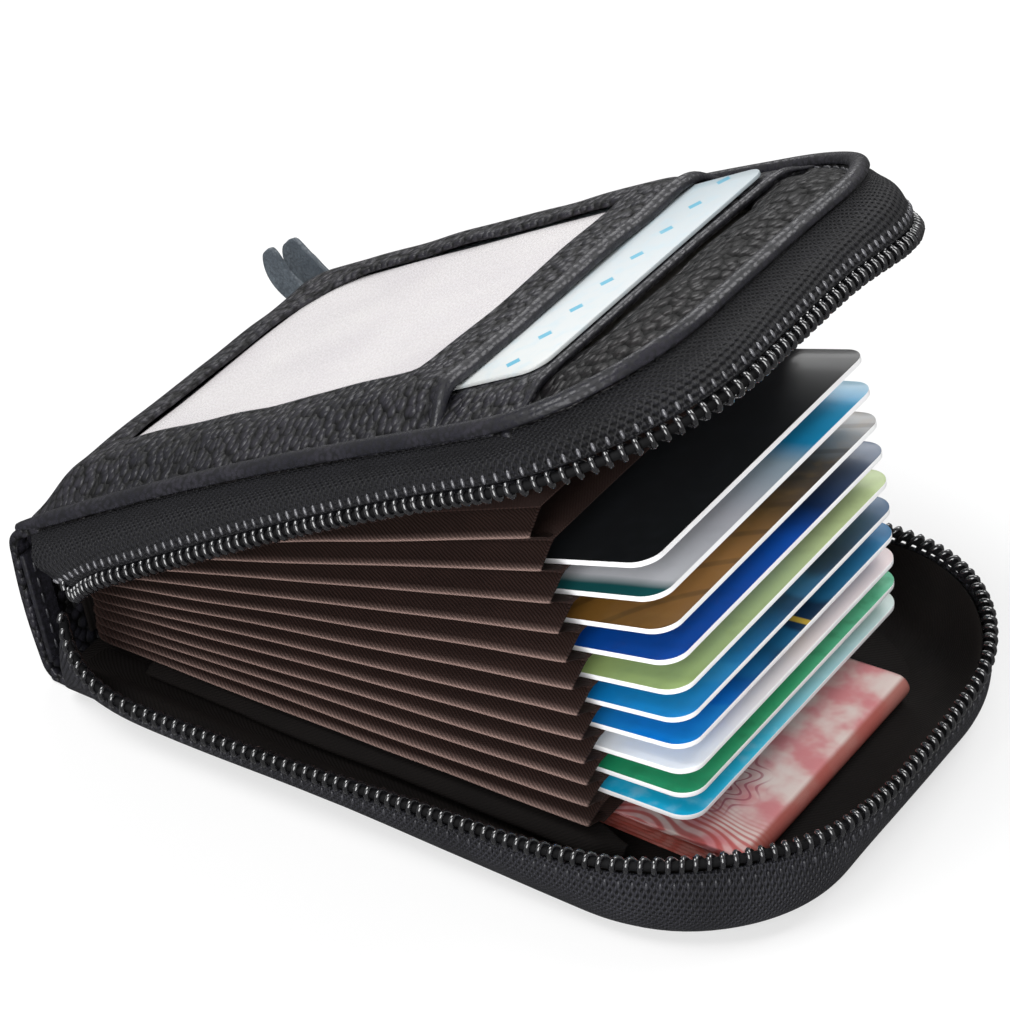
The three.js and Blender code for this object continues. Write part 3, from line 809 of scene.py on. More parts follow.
backShape = {"overhang": 0.7, "spineCorner": 0.6, "edge": 0.45, "steps": 20}
backLow = Vector((spineEnd - backShape["overhang"], -halfWidth, 0))
backCover = roundPlate("cover_back", backLow, coverHigh, (backShape["spineCorner"], corner), backShape["edge"],
                       backShape["steps"])
dress(backCover, leather, "back_half", ["back_cover"])

liningShape = {"spineCorner": 0.5, "backInset": 1.2, "frontInset": 5.0, "edge": 0.15, "steps": 20}
liningLow, liningHigh = flatBox("back_lining")
liningCorners = (liningShape["spineCorner"], corner - liningShape["backInset"])
backLining = roundPlate("lining_floor", liningLow, liningHigh, liningCorners, liningShape["edge"],
                        liningShape["steps"])
dress(backLining, liningCloth, "back_half", ["back_lining"])
cutFrom(backLining, *(liningHigh - liningLow).xy, "laid")

wallLining = {"gap": 0.85, "thickness": 0.3, "foot": [(-9.0, -0.3), (-5.0, 0.12), (-2.2, 0.7), (-0.2, 2.3)],
              "waist": 0.5, "inset": 4.0, "width": 17.5, "wave": 0.2}


def liningWall(name, stopAt, floor, way):
    # cloth that turns up from the floor in a wide curve and covers the inside of the tape
    def place(along, share):
        spot, out, flare, edge = stopAt(along)
        plain = uStop(rim, along)[0]
        tall = abs(edge - floor)
        top = flare - tapeShape["thickness"] / 2 - wallLining["gap"]
        middle = (lerp(wallLining["waist"], top, 0.6), 0.6 * tall)
        reach, rise = through([*wallLining["foot"], middle, (top, tall)], share)
        reach += wobble(along * 0.1, share * 2 + 7, wallLining["wave"]) * share
        return plain.lerp(spot, share ** 3) + out * reach + Vector((0, 0, floor + way * rise))

    piece, _ = gridSheet(name, steps(0, rimLength, 150), tapeRows, place,
                         lambda along, share: (along, share * wallLining["width"]))
    thicken(piece, wallLining["thickness"])
    return cutFrom(piece, wallLining["width"], rimLength, "stretched")


lowerWall = liningWall("lining_wall_lower", lowerStop, liningHigh.z, 1)
giveWay(dress(lowerWall, liningCloth, "back_half"))

frontLiningLow, frontLiningHigh = flatBox("front_lining", coverPlace)
liningInset = Vector((wallLining["inset"], wallLining["inset"], 0))
liningCorners = (liningShape["spineCorner"], corner - liningShape["frontInset"])
frontLining = roundPlate("lining_front", frontLiningLow + liningInset, frontLiningHigh - liningInset,
                         liningCorners, liningShape["edge"], liningShape["steps"])
onCover(frontLining, liningCloth, ["front_lining"])
cutFrom(frontLining, *(frontLiningHigh - frontLiningLow - 2 * liningInset).xy, "laid")
upperWall = liningWall("lining_wall_upper", upperStop, frontLiningLow.z, -1)
onCover(upperWall, liningCloth)

flapShape = {"start": 12.0, "end": 85.0, "fade": 7.0, "edge": 28.4, "bulge": 4.2, "tuck": 2.6, "top": 2.4,
             "wave": 0.4, "thickness": 0.35, "width": 13.0}


def makeFloorFlaps():
    # the lining's own fold under the lowest pocket, along both sides
    v = flapShape
    hinge = pivot("wall_fold_00")
    slope = math.tan(math.radians(opened("wall_fold_00")))
    flaps = []
    for side in (-1, 1):
        def place(x, share):
            tall = hinge.z - liningHigh.z + slope * (x - spineEnd)
            ending = smooth((x - spineEnd - v["end"] + v["fade"]) / v["fade"]) ** 2
            section = [(-v["tuck"], 0.25), (1.2, 0.3), (v["bulge"] - 0.6, 0.28 * tall + 0.3),
                       (v["bulge"], 0.55 * tall), (v["top"], 0.88 * tall), (-0.4, 0.93 * tall)]
            reach, rise = through(section, share)
            reach += wobble(x * 0.07, share + side, v["wave"])
            reach = lerp(reach, 0.6, 0.75 * ending)
            return x, side * (v["edge"] + reach), liningHigh.z + rise * (1 - 0.35 * ending)

        xs = [spineEnd + u for u in steps(v["start"], v["end"] - 4, 24)]
        xs += [spineEnd + v["end"] - d for d in (3, 2, 1, 0.4, 0)]
        piece, spots = gridSheet("flap", xs, steps(0, 1, 14), place, lambda x, share: (x, share * v["width"]))
        mark(piece, "lift", [min(max((share - 0.2) / 0.62, 0), 1) for _, share in spots])
        thicken(piece, v["thickness"])
        flaps.append(piece)
    piece = joinedPieces("lining_floor_folds", flaps)
    cutFrom(piece, 2 * v["width"], v["end"] - v["start"], "folded")
    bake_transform(piece)
    liftWeights(piece)
    return dress(piece, liningCloth, None)


makeFloorFlaps()
print("back half made")


# front cover panels

frontShape = {"roll": 1.9, "rollDrop": 1.1, "seam": 2.5, "seamWidth": 0.5, "seamDepth": 0.5, "shoulder": 6.5,
              "rimDrop": 0.8, "fill": 0.35}


def inFromRim(x, y):
    side, bend = halfWidth - corner, freeEnd - corner
    if x > bend and abs(y) > side:
        return corner - math.hypot(x - bend, abs(y) - side)
    return min(halfWidth - abs(y), freeEnd - x)


def padTop(x, y, rimHeight, crown):
    # the rounded edge, the sewn groove and the swell of a panel, as a height
    v = frontShape
    inward = inFromRim(x, y)
    roll = v["rollDrop"] * max(1 - inward / v["roll"], 0) ** 2
    groove = v["seamDepth"] * math.exp(-((inward - v["seam"]) / v["seamWidth"]) ** 2)
    swell = smooth((inward - v["seam"]) / v["shoulder"])
    return rimHeight - roll - groove + crown * swell + rimArch(x) * (1 - swell) - coverDip(x, y)


frontRim = frontHigh.z - frontShape["rimDrop"]
windowShape = {"rimLift": 0.45, "spineDrop": 0.5, "thickness": 1.0, "crown": 3.55, "spineRise": 9.0,
               "lipStart": 5.0, "lipDrop": 0.6, "hem": 3.0, "half": 23.0, "rounding": 3.6, "roundReach": 16.0,
               "fold": 2.3, "foldWidth": 0.4, "foldDepth": 0.4, "puff": 0.35, "tuck": 0.9}
windowStart, windowEnd = filmLow.x + windowShape["hem"], filmHigh.x - windowShape["hem"]
edgeRows = [37, 36.7, 36.3, 35.7, 35.2, 34.8, 34.4, 34, 33.4, 32.4, 31, 29.4, 27.8, 26.2, 24.6]


def windowTop(x, y):
    v = windowShape
    fromSpine = math.sin(math.pi / 2 * min(max((x - spineEnd) / v["spineRise"], 0), 1))
    lip = v["lipDrop"] * smooth((x - windowHigh.x + v["lipStart"]) / v["lipStart"])
    lip += v["foldDepth"] * math.exp(-((windowHigh.x - v["fold"] - x) / v["foldWidth"]) ** 2)
    rimHeight = frontRim + v["rimLift"] - v["spineDrop"] * (1 - fromSpine)
    puff = wobble(x * 0.11, y * 0.13, v["puff"]) * fromSpine
    return padTop(x, y, rimHeight, v["crown"] * fromSpine) - lip + puff


def makeWindowPanel():
    half = windowShape["half"]

    def place(x, y):
        # the window's far corner beside the spine is rounded
        away = math.hypot(x - windowStart, y - half) / windowShape["roundReach"]
        near = windowShape["rounding"] * max(1 - away, 0) ** 2
        return x + near, y - near, windowTop(x + near, y - near)

    def inWindow(face):
        x, y = (sum(spots[i][axis] for i in face.vertices) / len(face.vertices) for axis in (0, 1))
        return windowStart < x < windowEnd and abs(y) < half

    xs = [spineEnd + u for u in (0.3, 1.2, 2.1, 3.2, 4.6, 6.2, 7.8, 9.4, 10.8)]
    xs += steps(windowStart, windowEnd, 24)
    hemShares = (0.1, 0.25, 0.4, 0.55, 0.65, 0.7, 0.75, 0.8, 0.87, 0.93, 0.97, 1)
    xs += [lerp(windowEnd, windowHigh.x, share) for share in hemShares]
    ys = [-y for y in edgeRows] + steps(-half, half, 12) + edgeRows[::-1]
    piece, spots = gridSheet("panel_window", xs, ys, place)
    editedPart(piece, "FACE", inWindow, bpy.ops.mesh.delete, type="FACE")
    facing(piece, (0, 0, 1))
    thicken(piece, windowShape["thickness"], -1)
    return onCover(piece, leather, ["window_panel"])


def makeFilm():
    def place(x, y):
        outside = max(abs(y) - windowShape["half"], windowStart - x, x - windowEnd)
        tuck = windowShape["tuck"] * smooth((outside + 1) / 4) + coverDip(x, y)
        return x, y, (filmLow.z + filmHigh.z) / 2 + wobble(x * 0.07, y * 0.09, 0.15) - tuck

    xs, ys = steps(filmLow.x, filmHigh.x, 30), steps(filmLow.y, filmHigh.y, 24)
    piece, _ = gridSheet("window_film", xs, ys, place)
    thicken(piece, filmHigh.z - filmLow.z, 0, 0)
    cutFrom(piece, *(filmHigh - filmLow).xy, "stretched")
    return onCover(piece, milkyFilm, ["id_window"])


slotShape = {"start": 62.0, "rimLift": 0.2, "crown": 1.3, "thickness": 0.9, "lip": 1.4, "lipDrop": 0.3}


def slotTop(x, y):
    lip = slotShape["lipDrop"] * smooth((x - slotHigh.x + slotShape["lip"]) / slotShape["lip"])
    return padTop(x, y, frontRim + slotShape["rimLift"], slotShape["crown"]) - lip


def makeSlotPanel():
    half = windowShape["half"]
    xs = steps(spineEnd + slotShape["start"], slotHigh.x - 6, 8)
    xs += [slotHigh.x - d for d in (5, 4, 3, 2, 1.2, 0.6, 0.2, 0)]
    ys = [-y for y in edgeRows] + steps(-half, half, 10) + edgeRows[::-1]
    piece, _ = gridSheet("panel_slot", xs, ys, lambda x, y: (x, y, slotTop(x, y)))
    facing(piece, (0, 0, 1))
    thicken(piece, slotShape["thickness"], -1)
    return onCover(piece, leather, ["slot_panel"])


panelShape = {"crown": 1.5, "thickness": 1.2, "step": 1.1, "stepReach": 9.0, "start": 1.0}
frontRows = [0, 0.25, 0.6, 1, 1.5, 1.9, 2.2, 2.5, 2.8, 3.2, 3.8, 4.6, 5.6, 7, 8.6, 10.4, 12.4, 14, 15.4]
frontRun = {**rim, "start": spineEnd + panelShape["start"]}


def frontPanelTop(x, y):
    inside = smooth((inFromRim(x, y) - frontShape["seam"]) / 4)
    step = panelShape["step"] * inside * smooth(1 - (x - slotHigh.x) / panelShape["stepReach"])
    crumple = wobble(x * 0.16, y * 0.1, 0.35) + wobble(x * 0.5, y * 0.3, 0.22) * inside
    return padTop(x, y, frontRim, panelShape["crown"]) + crumple - step


def makeFrontPanel():
    def place(along, inward):
        spot, out = uStop(frontRun, along)
        spot = spot - out * inward
        return spot.x, spot.y, frontPanelTop(spot.x, spot.y)

    piece, _ = gridSheet("panel_front", steps(0, uLength(frontRun), 150), frontRows, place)
    facing(piece, (0, 0, 1))
    thicken(piece, panelShape["thickness"], -1)
    return onCover(piece, panelHide, ["front_panel"])


def coverTop(x, y):
    if x < windowHigh.x:
        return windowTop(x, y)
    return slotTop(x, y) if x < slotHigh.x else frontPanelTop(x, y)


bindingShape = {"section": [(-1.95, -0.5), (-1.75, -0.05), (-1.3, 0.25), (-0.7, 0.3), (-0.15, 0.05),
                            (0.15, -0.45), (0.12, -1.1)],
                "thickness": 0.5, "rimLift": 0.4, "end": 2.4, "slotScale": 0.5, "taper": 7.0, "thin": 0.45}


def makeBinding(name, length, count, edgeAt, scale=1.0):
    # a smooth turned edge along a panel: edgeAt gives a place on the edge and its outward direction
    def place(along, share):
        spot, out = edgeAt(along)
        reach, rise = through(bindingShape["section"], share)
        full = smooth(min(along, length - along) / bindingShape["taper"])
        size = scale * lerp(bindingShape["thin"], 1, full)
        return spot + out * reach * size + Vector((0, 0, rise * size))

    piece, _ = gridSheet(name, steps(0, length, count), steps(0, 1, 12), place)
    thicken(piece, bindingShape["thickness"] * scale)
    return onCover(piece, bindingHide)


def makeBindings():
    def rimEdge(along):
        spot, out = uStop(frontRun, along)
        inner = spot - out * 1.5
        height = frontRim + bindingShape["rimLift"] + rimArch(inner.x) - coverDip(inner.x, inner.y)
        return spot + Vector((0, 0, height)), out

    def crossEdge(x, top, back, sink):
        # a panel's straight edge, at the panel's height a little way back from it
        def edgeAt(along):
            y = along - halfWidth + bindingShape["end"]
            return Vector((x, y, top(x - back, y) - sink)), Vector((1, 0, 0))

        return edgeAt

    across = 2 * halfWidth - 2 * bindingShape["end"]
    makeBinding("binding_rim", uLength(frontRun), 150, rimEdge)
    makeBinding("binding_window", across, 48, crossEdge(windowHigh.x, windowTop, 3, 0.35))
    makeBinding("binding_slot", across, 48, crossEdge(slotHigh.x, slotTop, 2, 0.25), bindingShape["slotScale"])


stitching = {"pitch": 2.9, "length": 2.2, "width": 0.6, "lift": 0.05}


def makeRimStitches():
    run = {**rim, "start": spineEnd + 2}
    total = uLength(run)
    count = round(total / stitching["pitch"])
    places = []
    for i in range(count):
        ends = []
        for along in (i * total / count, i * total / count + stitching["length"]):
            spot, out = uStop(run, min(along, total))
            spot = spot - out * frontShape["seam"]
            ends.append(Vector((spot.x, spot.y, coverTop(spot.x, spot.y) + stitching["lift"])))
        places.append(((ends[0] + ends[1]) / 2, ends[1] - ends[0]))
    piece = stitchRow("stitches_front", places, stitching["length"], stitching["width"])
    return onCover(piece, thread)


makeWindowPanel()
makeFilm()
makeSlotPanel()
makeFrontPanel()
makeBindings()
makeRimStitches()
print("front cover made")


# spine leather, two sheets that meet halfway up, each bent at its own crease

spineShape = {"thickness": 1.3, "belly": 0.5, "bend": 2.4, "tuck": 4.5, "footTuck": 2.0, "lap": (0.44, 0.56)}
spineHem = {"edge": 0.2, "width": 4.2, "thickness": 0.7, "sink": 0.1, "round": 0.3, "foot": 2.2, "top": 3.0,
            "stitch": 1.7, "start": 1.0, "pitch": 2.4, "length": 1.8, "thread": 0.45}
spineRows = [-37, -36.7, -36.2, -35.4, -34.4, -33] + steps(-30, 30, 12) + [33, 34.4, 35.4, 36.2, 36.7, 37]


def makeSpine():
    rising = (spineTop - spineFoot).normalized()
    onward = coverPlace.to_3x3() @ Vector((1, 0, 0))
    outward = Vector((-rising.z, 0, rising.x))
    bend = spineShape["bend"]
    lapLow, lapHigh = spineShape["lap"]

    def upright(share):
        height = lerp(bend, spineHeight - bend, share)
        return spineFoot + rising * height + outward * spineShape["belly"] * math.sin(math.pi * share)

    def arc(first, crease, last):
        return [first * (1 - t) ** 2 + crease * 2 * t * (1 - t) + last * t * t
                for t in (0.17, 0.33, 0.5, 0.67, 0.83)]

    def sheet(name, section):
        def place(index, y):
            spot = section[round(index)]
            return spot.x, y, spot.z

        piece, _ = gridSheet(name, list(range(len(section))), spineRows, place)
        thicken(piece, spineShape["thickness"])
        return piece

    first, last = spineTop - rising * bend, spineTop + onward * bend
    section = [upright(share) for share in steps(lapLow, 1, 5)] + arc(first, spineTop, last)
    upper = sheet("spine_leather", section + [last + onward * d for d in (0, 1, spineShape["tuck"])])
    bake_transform(upper)
    dress(upper, leather, None, ["spine_panel"])
    foot, ankle = spineFoot + Vector((bend, 0, 0)), spineFoot + rising * bend
    section = [foot + Vector((spineShape["footTuck"], 0, 0)), foot] + arc(foot, spineFoot, ankle)
    lower = sheet("spine_foot", section + [upright(share) for share in steps(0, lapHigh, 5)])
    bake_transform(lower)
    dress(lower, leather, None)


def makeSpineHems():
    # the leather turned in along both ends of the spine, with its row of stitches
    v = spineHem
    inner = spineFoot.x + spineShape["thickness"] / 2
    hems, places = [], []
    for side in (-1, 1):
        edges = sorted((side * (halfWidth - v["edge"]), side * (halfWidth - v["width"])))
        low = (inner - v["sink"], edges[0], spineFoot.z + v["foot"])
        high = (inner + v["thickness"], edges[1], spineFoot.z + spineHeight - v["top"])
        hems.append(block("hem", low, high, v["round"], 2))
        for i in range(int((high[2] - low[2] - v["start"]) / v["pitch"])):
            height = low[2] + v["start"] + (i + 0.5) * v["pitch"]
            places.append(((inner + v["thickness"], side * (halfWidth - v["stitch"]), height), (0, 0, 1)))
    upright = spinePlace @ Matrix.Translation(-spineFoot)
    piece = joinedPieces("spine_hems", hems)
    put(piece, upright)
    dress(piece, bindingHide, "spine")
    stitches = stitchRow("stitches_spine", places, v["length"], v["thread"])
    put(stitches, upright)
    dress(stitches, thread, "spine")


makeSpine()
makeSpineHems()
spineLiningLow, spineLiningHigh = flatBox("spine_lining", spinePlace)
spineLining = roundPlate("lining_spine", spineLiningLow, spineLiningHigh, (0, 0), liningShape["edge"])
put(spineLining, spinePlace)
dress(spineLining, liningCloth, "spine", ["spine_lining"])
cutFrom(spineLining, *(spineLiningHigh - spineLiningLow).yz, "stretched")
print("spine made")


# accordion

leafShape = {"wave": 0.12}
# fade: the reach over which the ridges' painted highlight fades out towards the rear corners, so that they go dark
# as painted shade
pleatShape = {"low": 0.24, "hem": 1.15, "inset": 0.15, "rear": 2.2, "corner": 1.0, "fade": 14.0, "depth": 3.7,
              "rearDepth": 1.8, "sheet": 0.24, "sag": 0.35, "ripple": 0.3, "ridge": 0.06}
# shares of the way up a fold; what lies past 0 and 1 is hem
foldRows = [-0.1, 0, 0.12, 0.27, 0.4, 0.46, 0.485, 0.515, 0.54, 0.6, 0.73, 0.88, 1, 1.1]


def makeLeaf(k):
    def place(x, y):
        return x, y, wobble(x * 0.05 + k, y * 0.06, leafShape["wave"])

    name = f"leaf_{k:02d}"
    low, high = flatBox(name, leafPlaces[k])
    piece, _ = gridSheet(f"wall_{k:02d}", steps(low.x, high.x, 16), steps(low.y, high.y, 12), place)
    thicken(piece, high.z - low.z, 0, 0)
    put(piece, leafPlaces[k])
    cutFrom(piece, high.x - low.x, high.y - low.y, "stretched")
    return dress(piece, pleatCloth, f"pocket_wall_{k:02d}", [name])


def makeFold(name, base, gap, tilt, seed):
    # the folded side and floor of a pocket, in the frame of the wall below it
    run = {"start": leafHigh.x, "end": pleatShape["rear"], "half": leafHigh.y - pleatShape["inset"],
           "corner": pleatShape["corner"]}
    total = uLength(run)
    slope = math.tan(math.radians(tilt))

    def place(along, row):
        spot, out = uStop(run, along)
        lift = min(max(row, 0), 1)
        fold = 1 - abs(2 * lift - 1)
        depth = lerp(pleatShape["rearDepth"], pleatShape["depth"], abs(out.y))
        mouth = min(along, total - along)
        depth += wobble(mouth * 0.06 + seed * 3, seed, pleatShape["ripple"])
        sag = pleatShape["sag"] * math.sin(math.pi * fold) * (1 - 0.6 * smooth(1 - mouth / 8))
        reach = depth * fold - sag - abs(row - lift) / 0.1 * pleatShape["hem"]
        x = spot.x + out.x * reach
        room = gap + x * slope
        z = lerp(pleatShape["low"], room - pleatShape["low"], lift)
        return x, spot.y + out.y * reach, z

    straight = abs(run["end"] - run["start"]) - run["corner"]
    arc = run["corner"] * math.pi / 2
    stops = steps(0, straight, 30) + steps(straight, straight + arc, 5)[1:]
    stops += [total / 2] + [total - stop for stop in reversed(stops)]
    width = 2 * math.hypot(pleatShape["depth"], gap / 2 + leafHigh.x * slope / 4)
    piece, spots = gridSheet(name, stops, foldRows, place, lambda along, row: (along, row * width))
    mark(piece, "lift", [min(max(row, 0), 1) for _, row in spots])
    ridges = []
    for along, row in spots:
        # the ridge's painted highlight fades out towards the rear corners, which go dark as painted shade
        outOfShade = smooth((straight - min(along, total - along)) / pleatShape["fade"])
        ridges.append(max(1 - abs(row - 0.5) / pleatShape["ridge"], 0) * outOfShade)
    mark(piece, "ridge", ridges)
    thicken(piece, pleatShape["sheet"])
    put(piece, base)
    return cutFrom(piece, total, width + 2 * pleatShape["hem"], "folded")


leafPitch = (pivot("wall_fold_02") - pivot("wall_fold_01")).length
for k in range(pocketCount + 1):
    makeLeaf(k)
for k in range(1, pocketCount + 1):
    lower, upper = f"wall_fold_{k - 1:02d}", f"wall_fold_{k:02d}"
    fold = makeFold(f"fold_{k:02d}", leafPlaces[k - 1], leafPitch, opened(upper), k)
    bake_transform(fold)
    liftWeights(fold)
    dress(fold, pleatCloth, None, [f"pleat_{k:02d}"])
print("accordion made")


# cards

def ramp(tree, value, stops):
    # colours at places along a value, in millimetres from the first to the last
    made = node(tree, "ValToRGB", {0: sums(tree, "DIVIDE", value, stops[-1][0])})
    elements = made.color_ramp.elements
    while len(elements) < len(stops):
        elements.new(0.5)
    for element, (place, colour) in zip(elements, stops):
        element.position = place / stops[-1][0]
        element.color = shade(colour)
    return made.outputs[0]


def cardMaterial(name, v):
    material, tree, shader = newMaterial(name, {"Roughness": v.get("rough", 0.3), "Specular IOR Level": 0.5,
                                                "Coat Weight": 0.25, "Coat Roughness": 0.12})
    chart = node(tree, "UVMap").outputs[0]
    axes = node(tree, "SeparateXYZ", {0: chart}).outputs
    drift = cloudy(tree, chart, 0.05, 1.0)[0]
    bend = v.get("bend", 8.0)
    bent = sums(tree, "MULTIPLY_ADD", drift, bend, sums(tree, "SUBTRACT", axes["Y"], bend / 2))
    slant = sums(tree, "MULTIPLY_ADD", axes["X"], v.get("slant", 0.0), bent)
    ink = ramp(tree, slant, v["tones"])
    if "rings" in v:
        centre, pitch, colour, strength = v["rings"]
        away = distance(tree, added(tree, chart, (-centre[0], -centre[1], 0)))
        wave = sums(tree, "SINE", sums(tree, "MULTIPLY", away, 2 * math.pi / pitch))
        line = sums(tree, "MULTIPLY", ranged(tree, wave, 0.72, 0.98), strength)
        ink = mixed(tree, line, ink, shade(colour))
    if "waves" in v:
        pitch, colour, strength = v["waves"]
        drifting = sums(tree, "MULTIPLY_ADD", drift, 38.0, axes["Y"])
        wave = sums(tree, "SINE", sums(tree, "MULTIPLY", drifting, 2 * math.pi / pitch))
        share = sums(tree, "MULTIPLY", ranged(tree, wave, 0.1, 0.75), strength)
        ink = mixed(tree, share, ink, shade(colour))
    if "stripe" in v:
        low, high, colour = v["stripe"]
        over, under = ranged(tree, axes["Y"], low, low + 0.3), ranged(tree, axes["Y"], high, high - 0.3)
        ink = mixed(tree, sums(tree, "MULTIPLY", over, under), ink, shade(colour))
    if "marks" in v:
        middle, pitch, size, colour = v["marks"]
        across = sums(tree, "ABSOLUTE", sums(tree, "SUBTRACT", axes["X"], middle))
        along = sums(tree, "SUBTRACT", pitch / 2, sums(tree, "PINGPONG", axes["Y"], pitch / 2))
        inside = ranged(tree, sums(tree, "ADD", across, along), size, size * 0.8)
        ink = mixed(tree, inside, ink, shade(colour))
    speck = cloudy(tree, chart, 0.35, 5.0)[0]
    mottled = sums(tree, "MULTIPLY", ranged(tree, speck, 0.45, 0.7), v.get("mottle", 0.08))
    feed(tree, shader, Base_Color=mixed(tree, mottled, ink, shade(v.get("mottleTone", "101418"))))
    bumped(tree, shader, cloudy(tree, chart, 9.0, 2.0)[0], 0.006)
    return material


cardLooks = [  # from the lowest pocket up; tones run from the near side to the far side, in millimetres
    {"tones": [(0, "14a6d2"), (18, "33b8dd"), (30, "93cedb"), (54, "d3dcd8")],
     "mottle": 0.14, "mottleTone": "e9f4f6"},
    {"tones": [(0, "1f8a5f"), (25, "2f9a68"), (54, "62b894")], "mottle": 0.4, "mottleTone": "1c6a45"},
    {"tones": [(0, "f2f5f5"), (25, "f2e9e8"), (54, "f2dfdd")], "mottle": 0.06, "mottleTone": "d8d2d4"},
    {"tones": [(0, "0a7ccf"), (12, "0f66b4"), (22, "14304f"), (36, "16324c"), (54, "2f78a8")],
     "waves": (19.0, "2a8fc4", 0.35), "stripe": (29.0, 30.4, "c9a83c")},
    {"tones": [(0, "0f86d6"), (14, "1679bd"), (26, "15416a"), (40, "1a3048"), (54, "3f6288")],
     "waves": (24.0, "3d9ad6", 0.25)},
    {"tones": [(0, "9ab068"), (20, "a9c178"), (54, "c4d69a")], "slant": 0.2},
    {"tones": [(0, "0b4fb0"), (30, "0d55ba"), (38, "12315e"), (46, "33455f"), (54, "6b7c95")], "bend": 4.0},
    {"tones": [(0, "7f5926"), (18, "926832"), (30, "5f4520"), (41, "4a3c2c"), (45, "8d8986"), (54, "a8a4a1")],
     "rings": ((100, -14), 6.5, "3a2a12", 0.45), "mottle": 0.15, "mottleTone": "a97f45"},
    {"tones": [(0, "1c6062"), (2, "1c6062"), (4, "e2e4ea"), (20, "cfd1da"), (33, "a9c0d0"), (38, "1e9bd2"),
               (49, "2aa6da"), (54, "a8d2e6")], "mottle": 0.05, "bend": 2.0},
    # card 10: black print lifted to dark grey, lighter towards the far side, partly as a painted reflection
    {"tones": [(0, "1c1e20"), (54, "26282b")], "rough": 0.36, "mottle": 0.2, "mottleTone": "303338"},
]
cardShape = {"corners": (3.18, 3.18), "edge": 0.08}


def makeCard(k, look):
    name = f"card_{k:02d}"
    low, high = flatBox(name, leafPlaces[k])
    piece = roundPlate(f"printed_{name}", low, high, cardShape["corners"], cardShape["edge"])
    piece.data.materials.append(cardMaterial(f"print of {name}", look))
    piece.data.materials.append(cardCore)
    for face in piece.data.polygons:
        face.material_index = 0 if abs(face.normal.z) > 0.9 else 1
    put(piece, leafPlaces[k])
    return dress(piece, None, f"held_card_{k:02d}", [name])


for number, look in enumerate(cardLooks, 1):
    makeCard(number, look)

# the slip's pale blue print, with all its tones darkened as painted shade from the strip above; darker and bluer
# towards the far side
slipLook = {"tones": [(0, "c6c9c8"), (20, "bac0c2"), (54, "aab5ba")], "mottle": 0.25, "mottleTone": "97bccb",
            "marks": (73.5, 7.0, 1.35, "3f9ab6"), "rough": 0.45}
slip = roundPlate("slip_in_slot", slipLow, slipHigh, cardShape["corners"], cardShape["edge"])
slip.data.materials.append(cardMaterial("print of the slip with painted shade", slipLook))
put(slip, coverPlace)
dress(slip, None, "held_slip", ["slip_card"])
print("cards made")


# folded notes

noteLow, noteHigh = flatBox("note_bundle")
noteShape = {"sheets": 4, "sheet": 0.18, "curl": 0.8, "curlReach": 16.0, "puff": 2.1, "length": 94.0, "short": 2.1,
             "step": 1.3, "keep": 0.4, "rise": 0.4}
noteLook = {"pink": "d2878a", "deep": "bb524f", "pale": "e0cec8", "line": "a8455a", "fold": "a34f43",
            "foldStart": 44.5, "rosette": (33, 12)}


def noteMaterial(name, v):
    material, tree, shader = newMaterial(name, {"Roughness": 0.78, "Specular IOR Level": 0.25})
    chart = node(tree, "UVMap").outputs[0]
    axes = node(tree, "SeparateXYZ", {0: chart}).outputs
    cloud = cloudy(tree, chart, 0.16, 3.0)[0]
    paper = mixed(tree, ranged(tree, cloud, 0.35, 0.65), shade(v["pink"]), shade(v["pale"]))
    centred = added(tree, chart, (-v["rosette"][0], -v["rosette"][1], 0))
    spot = node(tree, "SeparateXYZ", {0: centred}).outputs
    angle = sums(tree, "ARCTAN2", spot["Y"], spot["X"])
    away = distance(tree, centred)
    petals = sums(tree, "MULTIPLY", sums(tree, "SINE", sums(tree, "MULTIPLY", angle, 9.0)), 0.9)
    ripple = sums(tree, "SINE", sums(tree, "MULTIPLY", sums(tree, "ADD", away, petals), 4.2))
    rosette = sums(tree, "MULTIPLY", ranged(tree, ripple, 0.4, 0.95), ranged(tree, away, 9.0, 6.5))
    bend = cloudy(tree, chart, 0.08, 0.0)[0]
    winding = sums(tree, "MULTIPLY_ADD", bend, 16.0, axes["Y"])
    lines = sums(tree, "SINE", sums(tree, "MULTIPLY", winding, 5.5))
    patch = ranged(tree, sums(tree, "MULTIPLY_ADD", bend, 30.0, axes["Y"]), 30.0, 18.0, 0.0, 0.85)
    ground = sums(tree, "MULTIPLY", ranged(tree, lines, -0.6, 0.9), patch)
    ink = mixed(tree, ground, paper, shade(v["deep"]))
    ink = mixed(tree, sums(tree, "MULTIPLY", rosette, 0.75), ink, shade(v["line"]))
    fold = ranged(tree, axes["X"], v["foldStart"], v["foldStart"] + 0.8)
    feed(tree, shader, Base_Color=mixed(tree, sums(tree, "MULTIPLY", fold, 0.85), ink, shade(v["fold"])))
    bumped(tree, shader, cloudy(tree, chart, 5.0, 4.0)[0], 0.03)
    return material


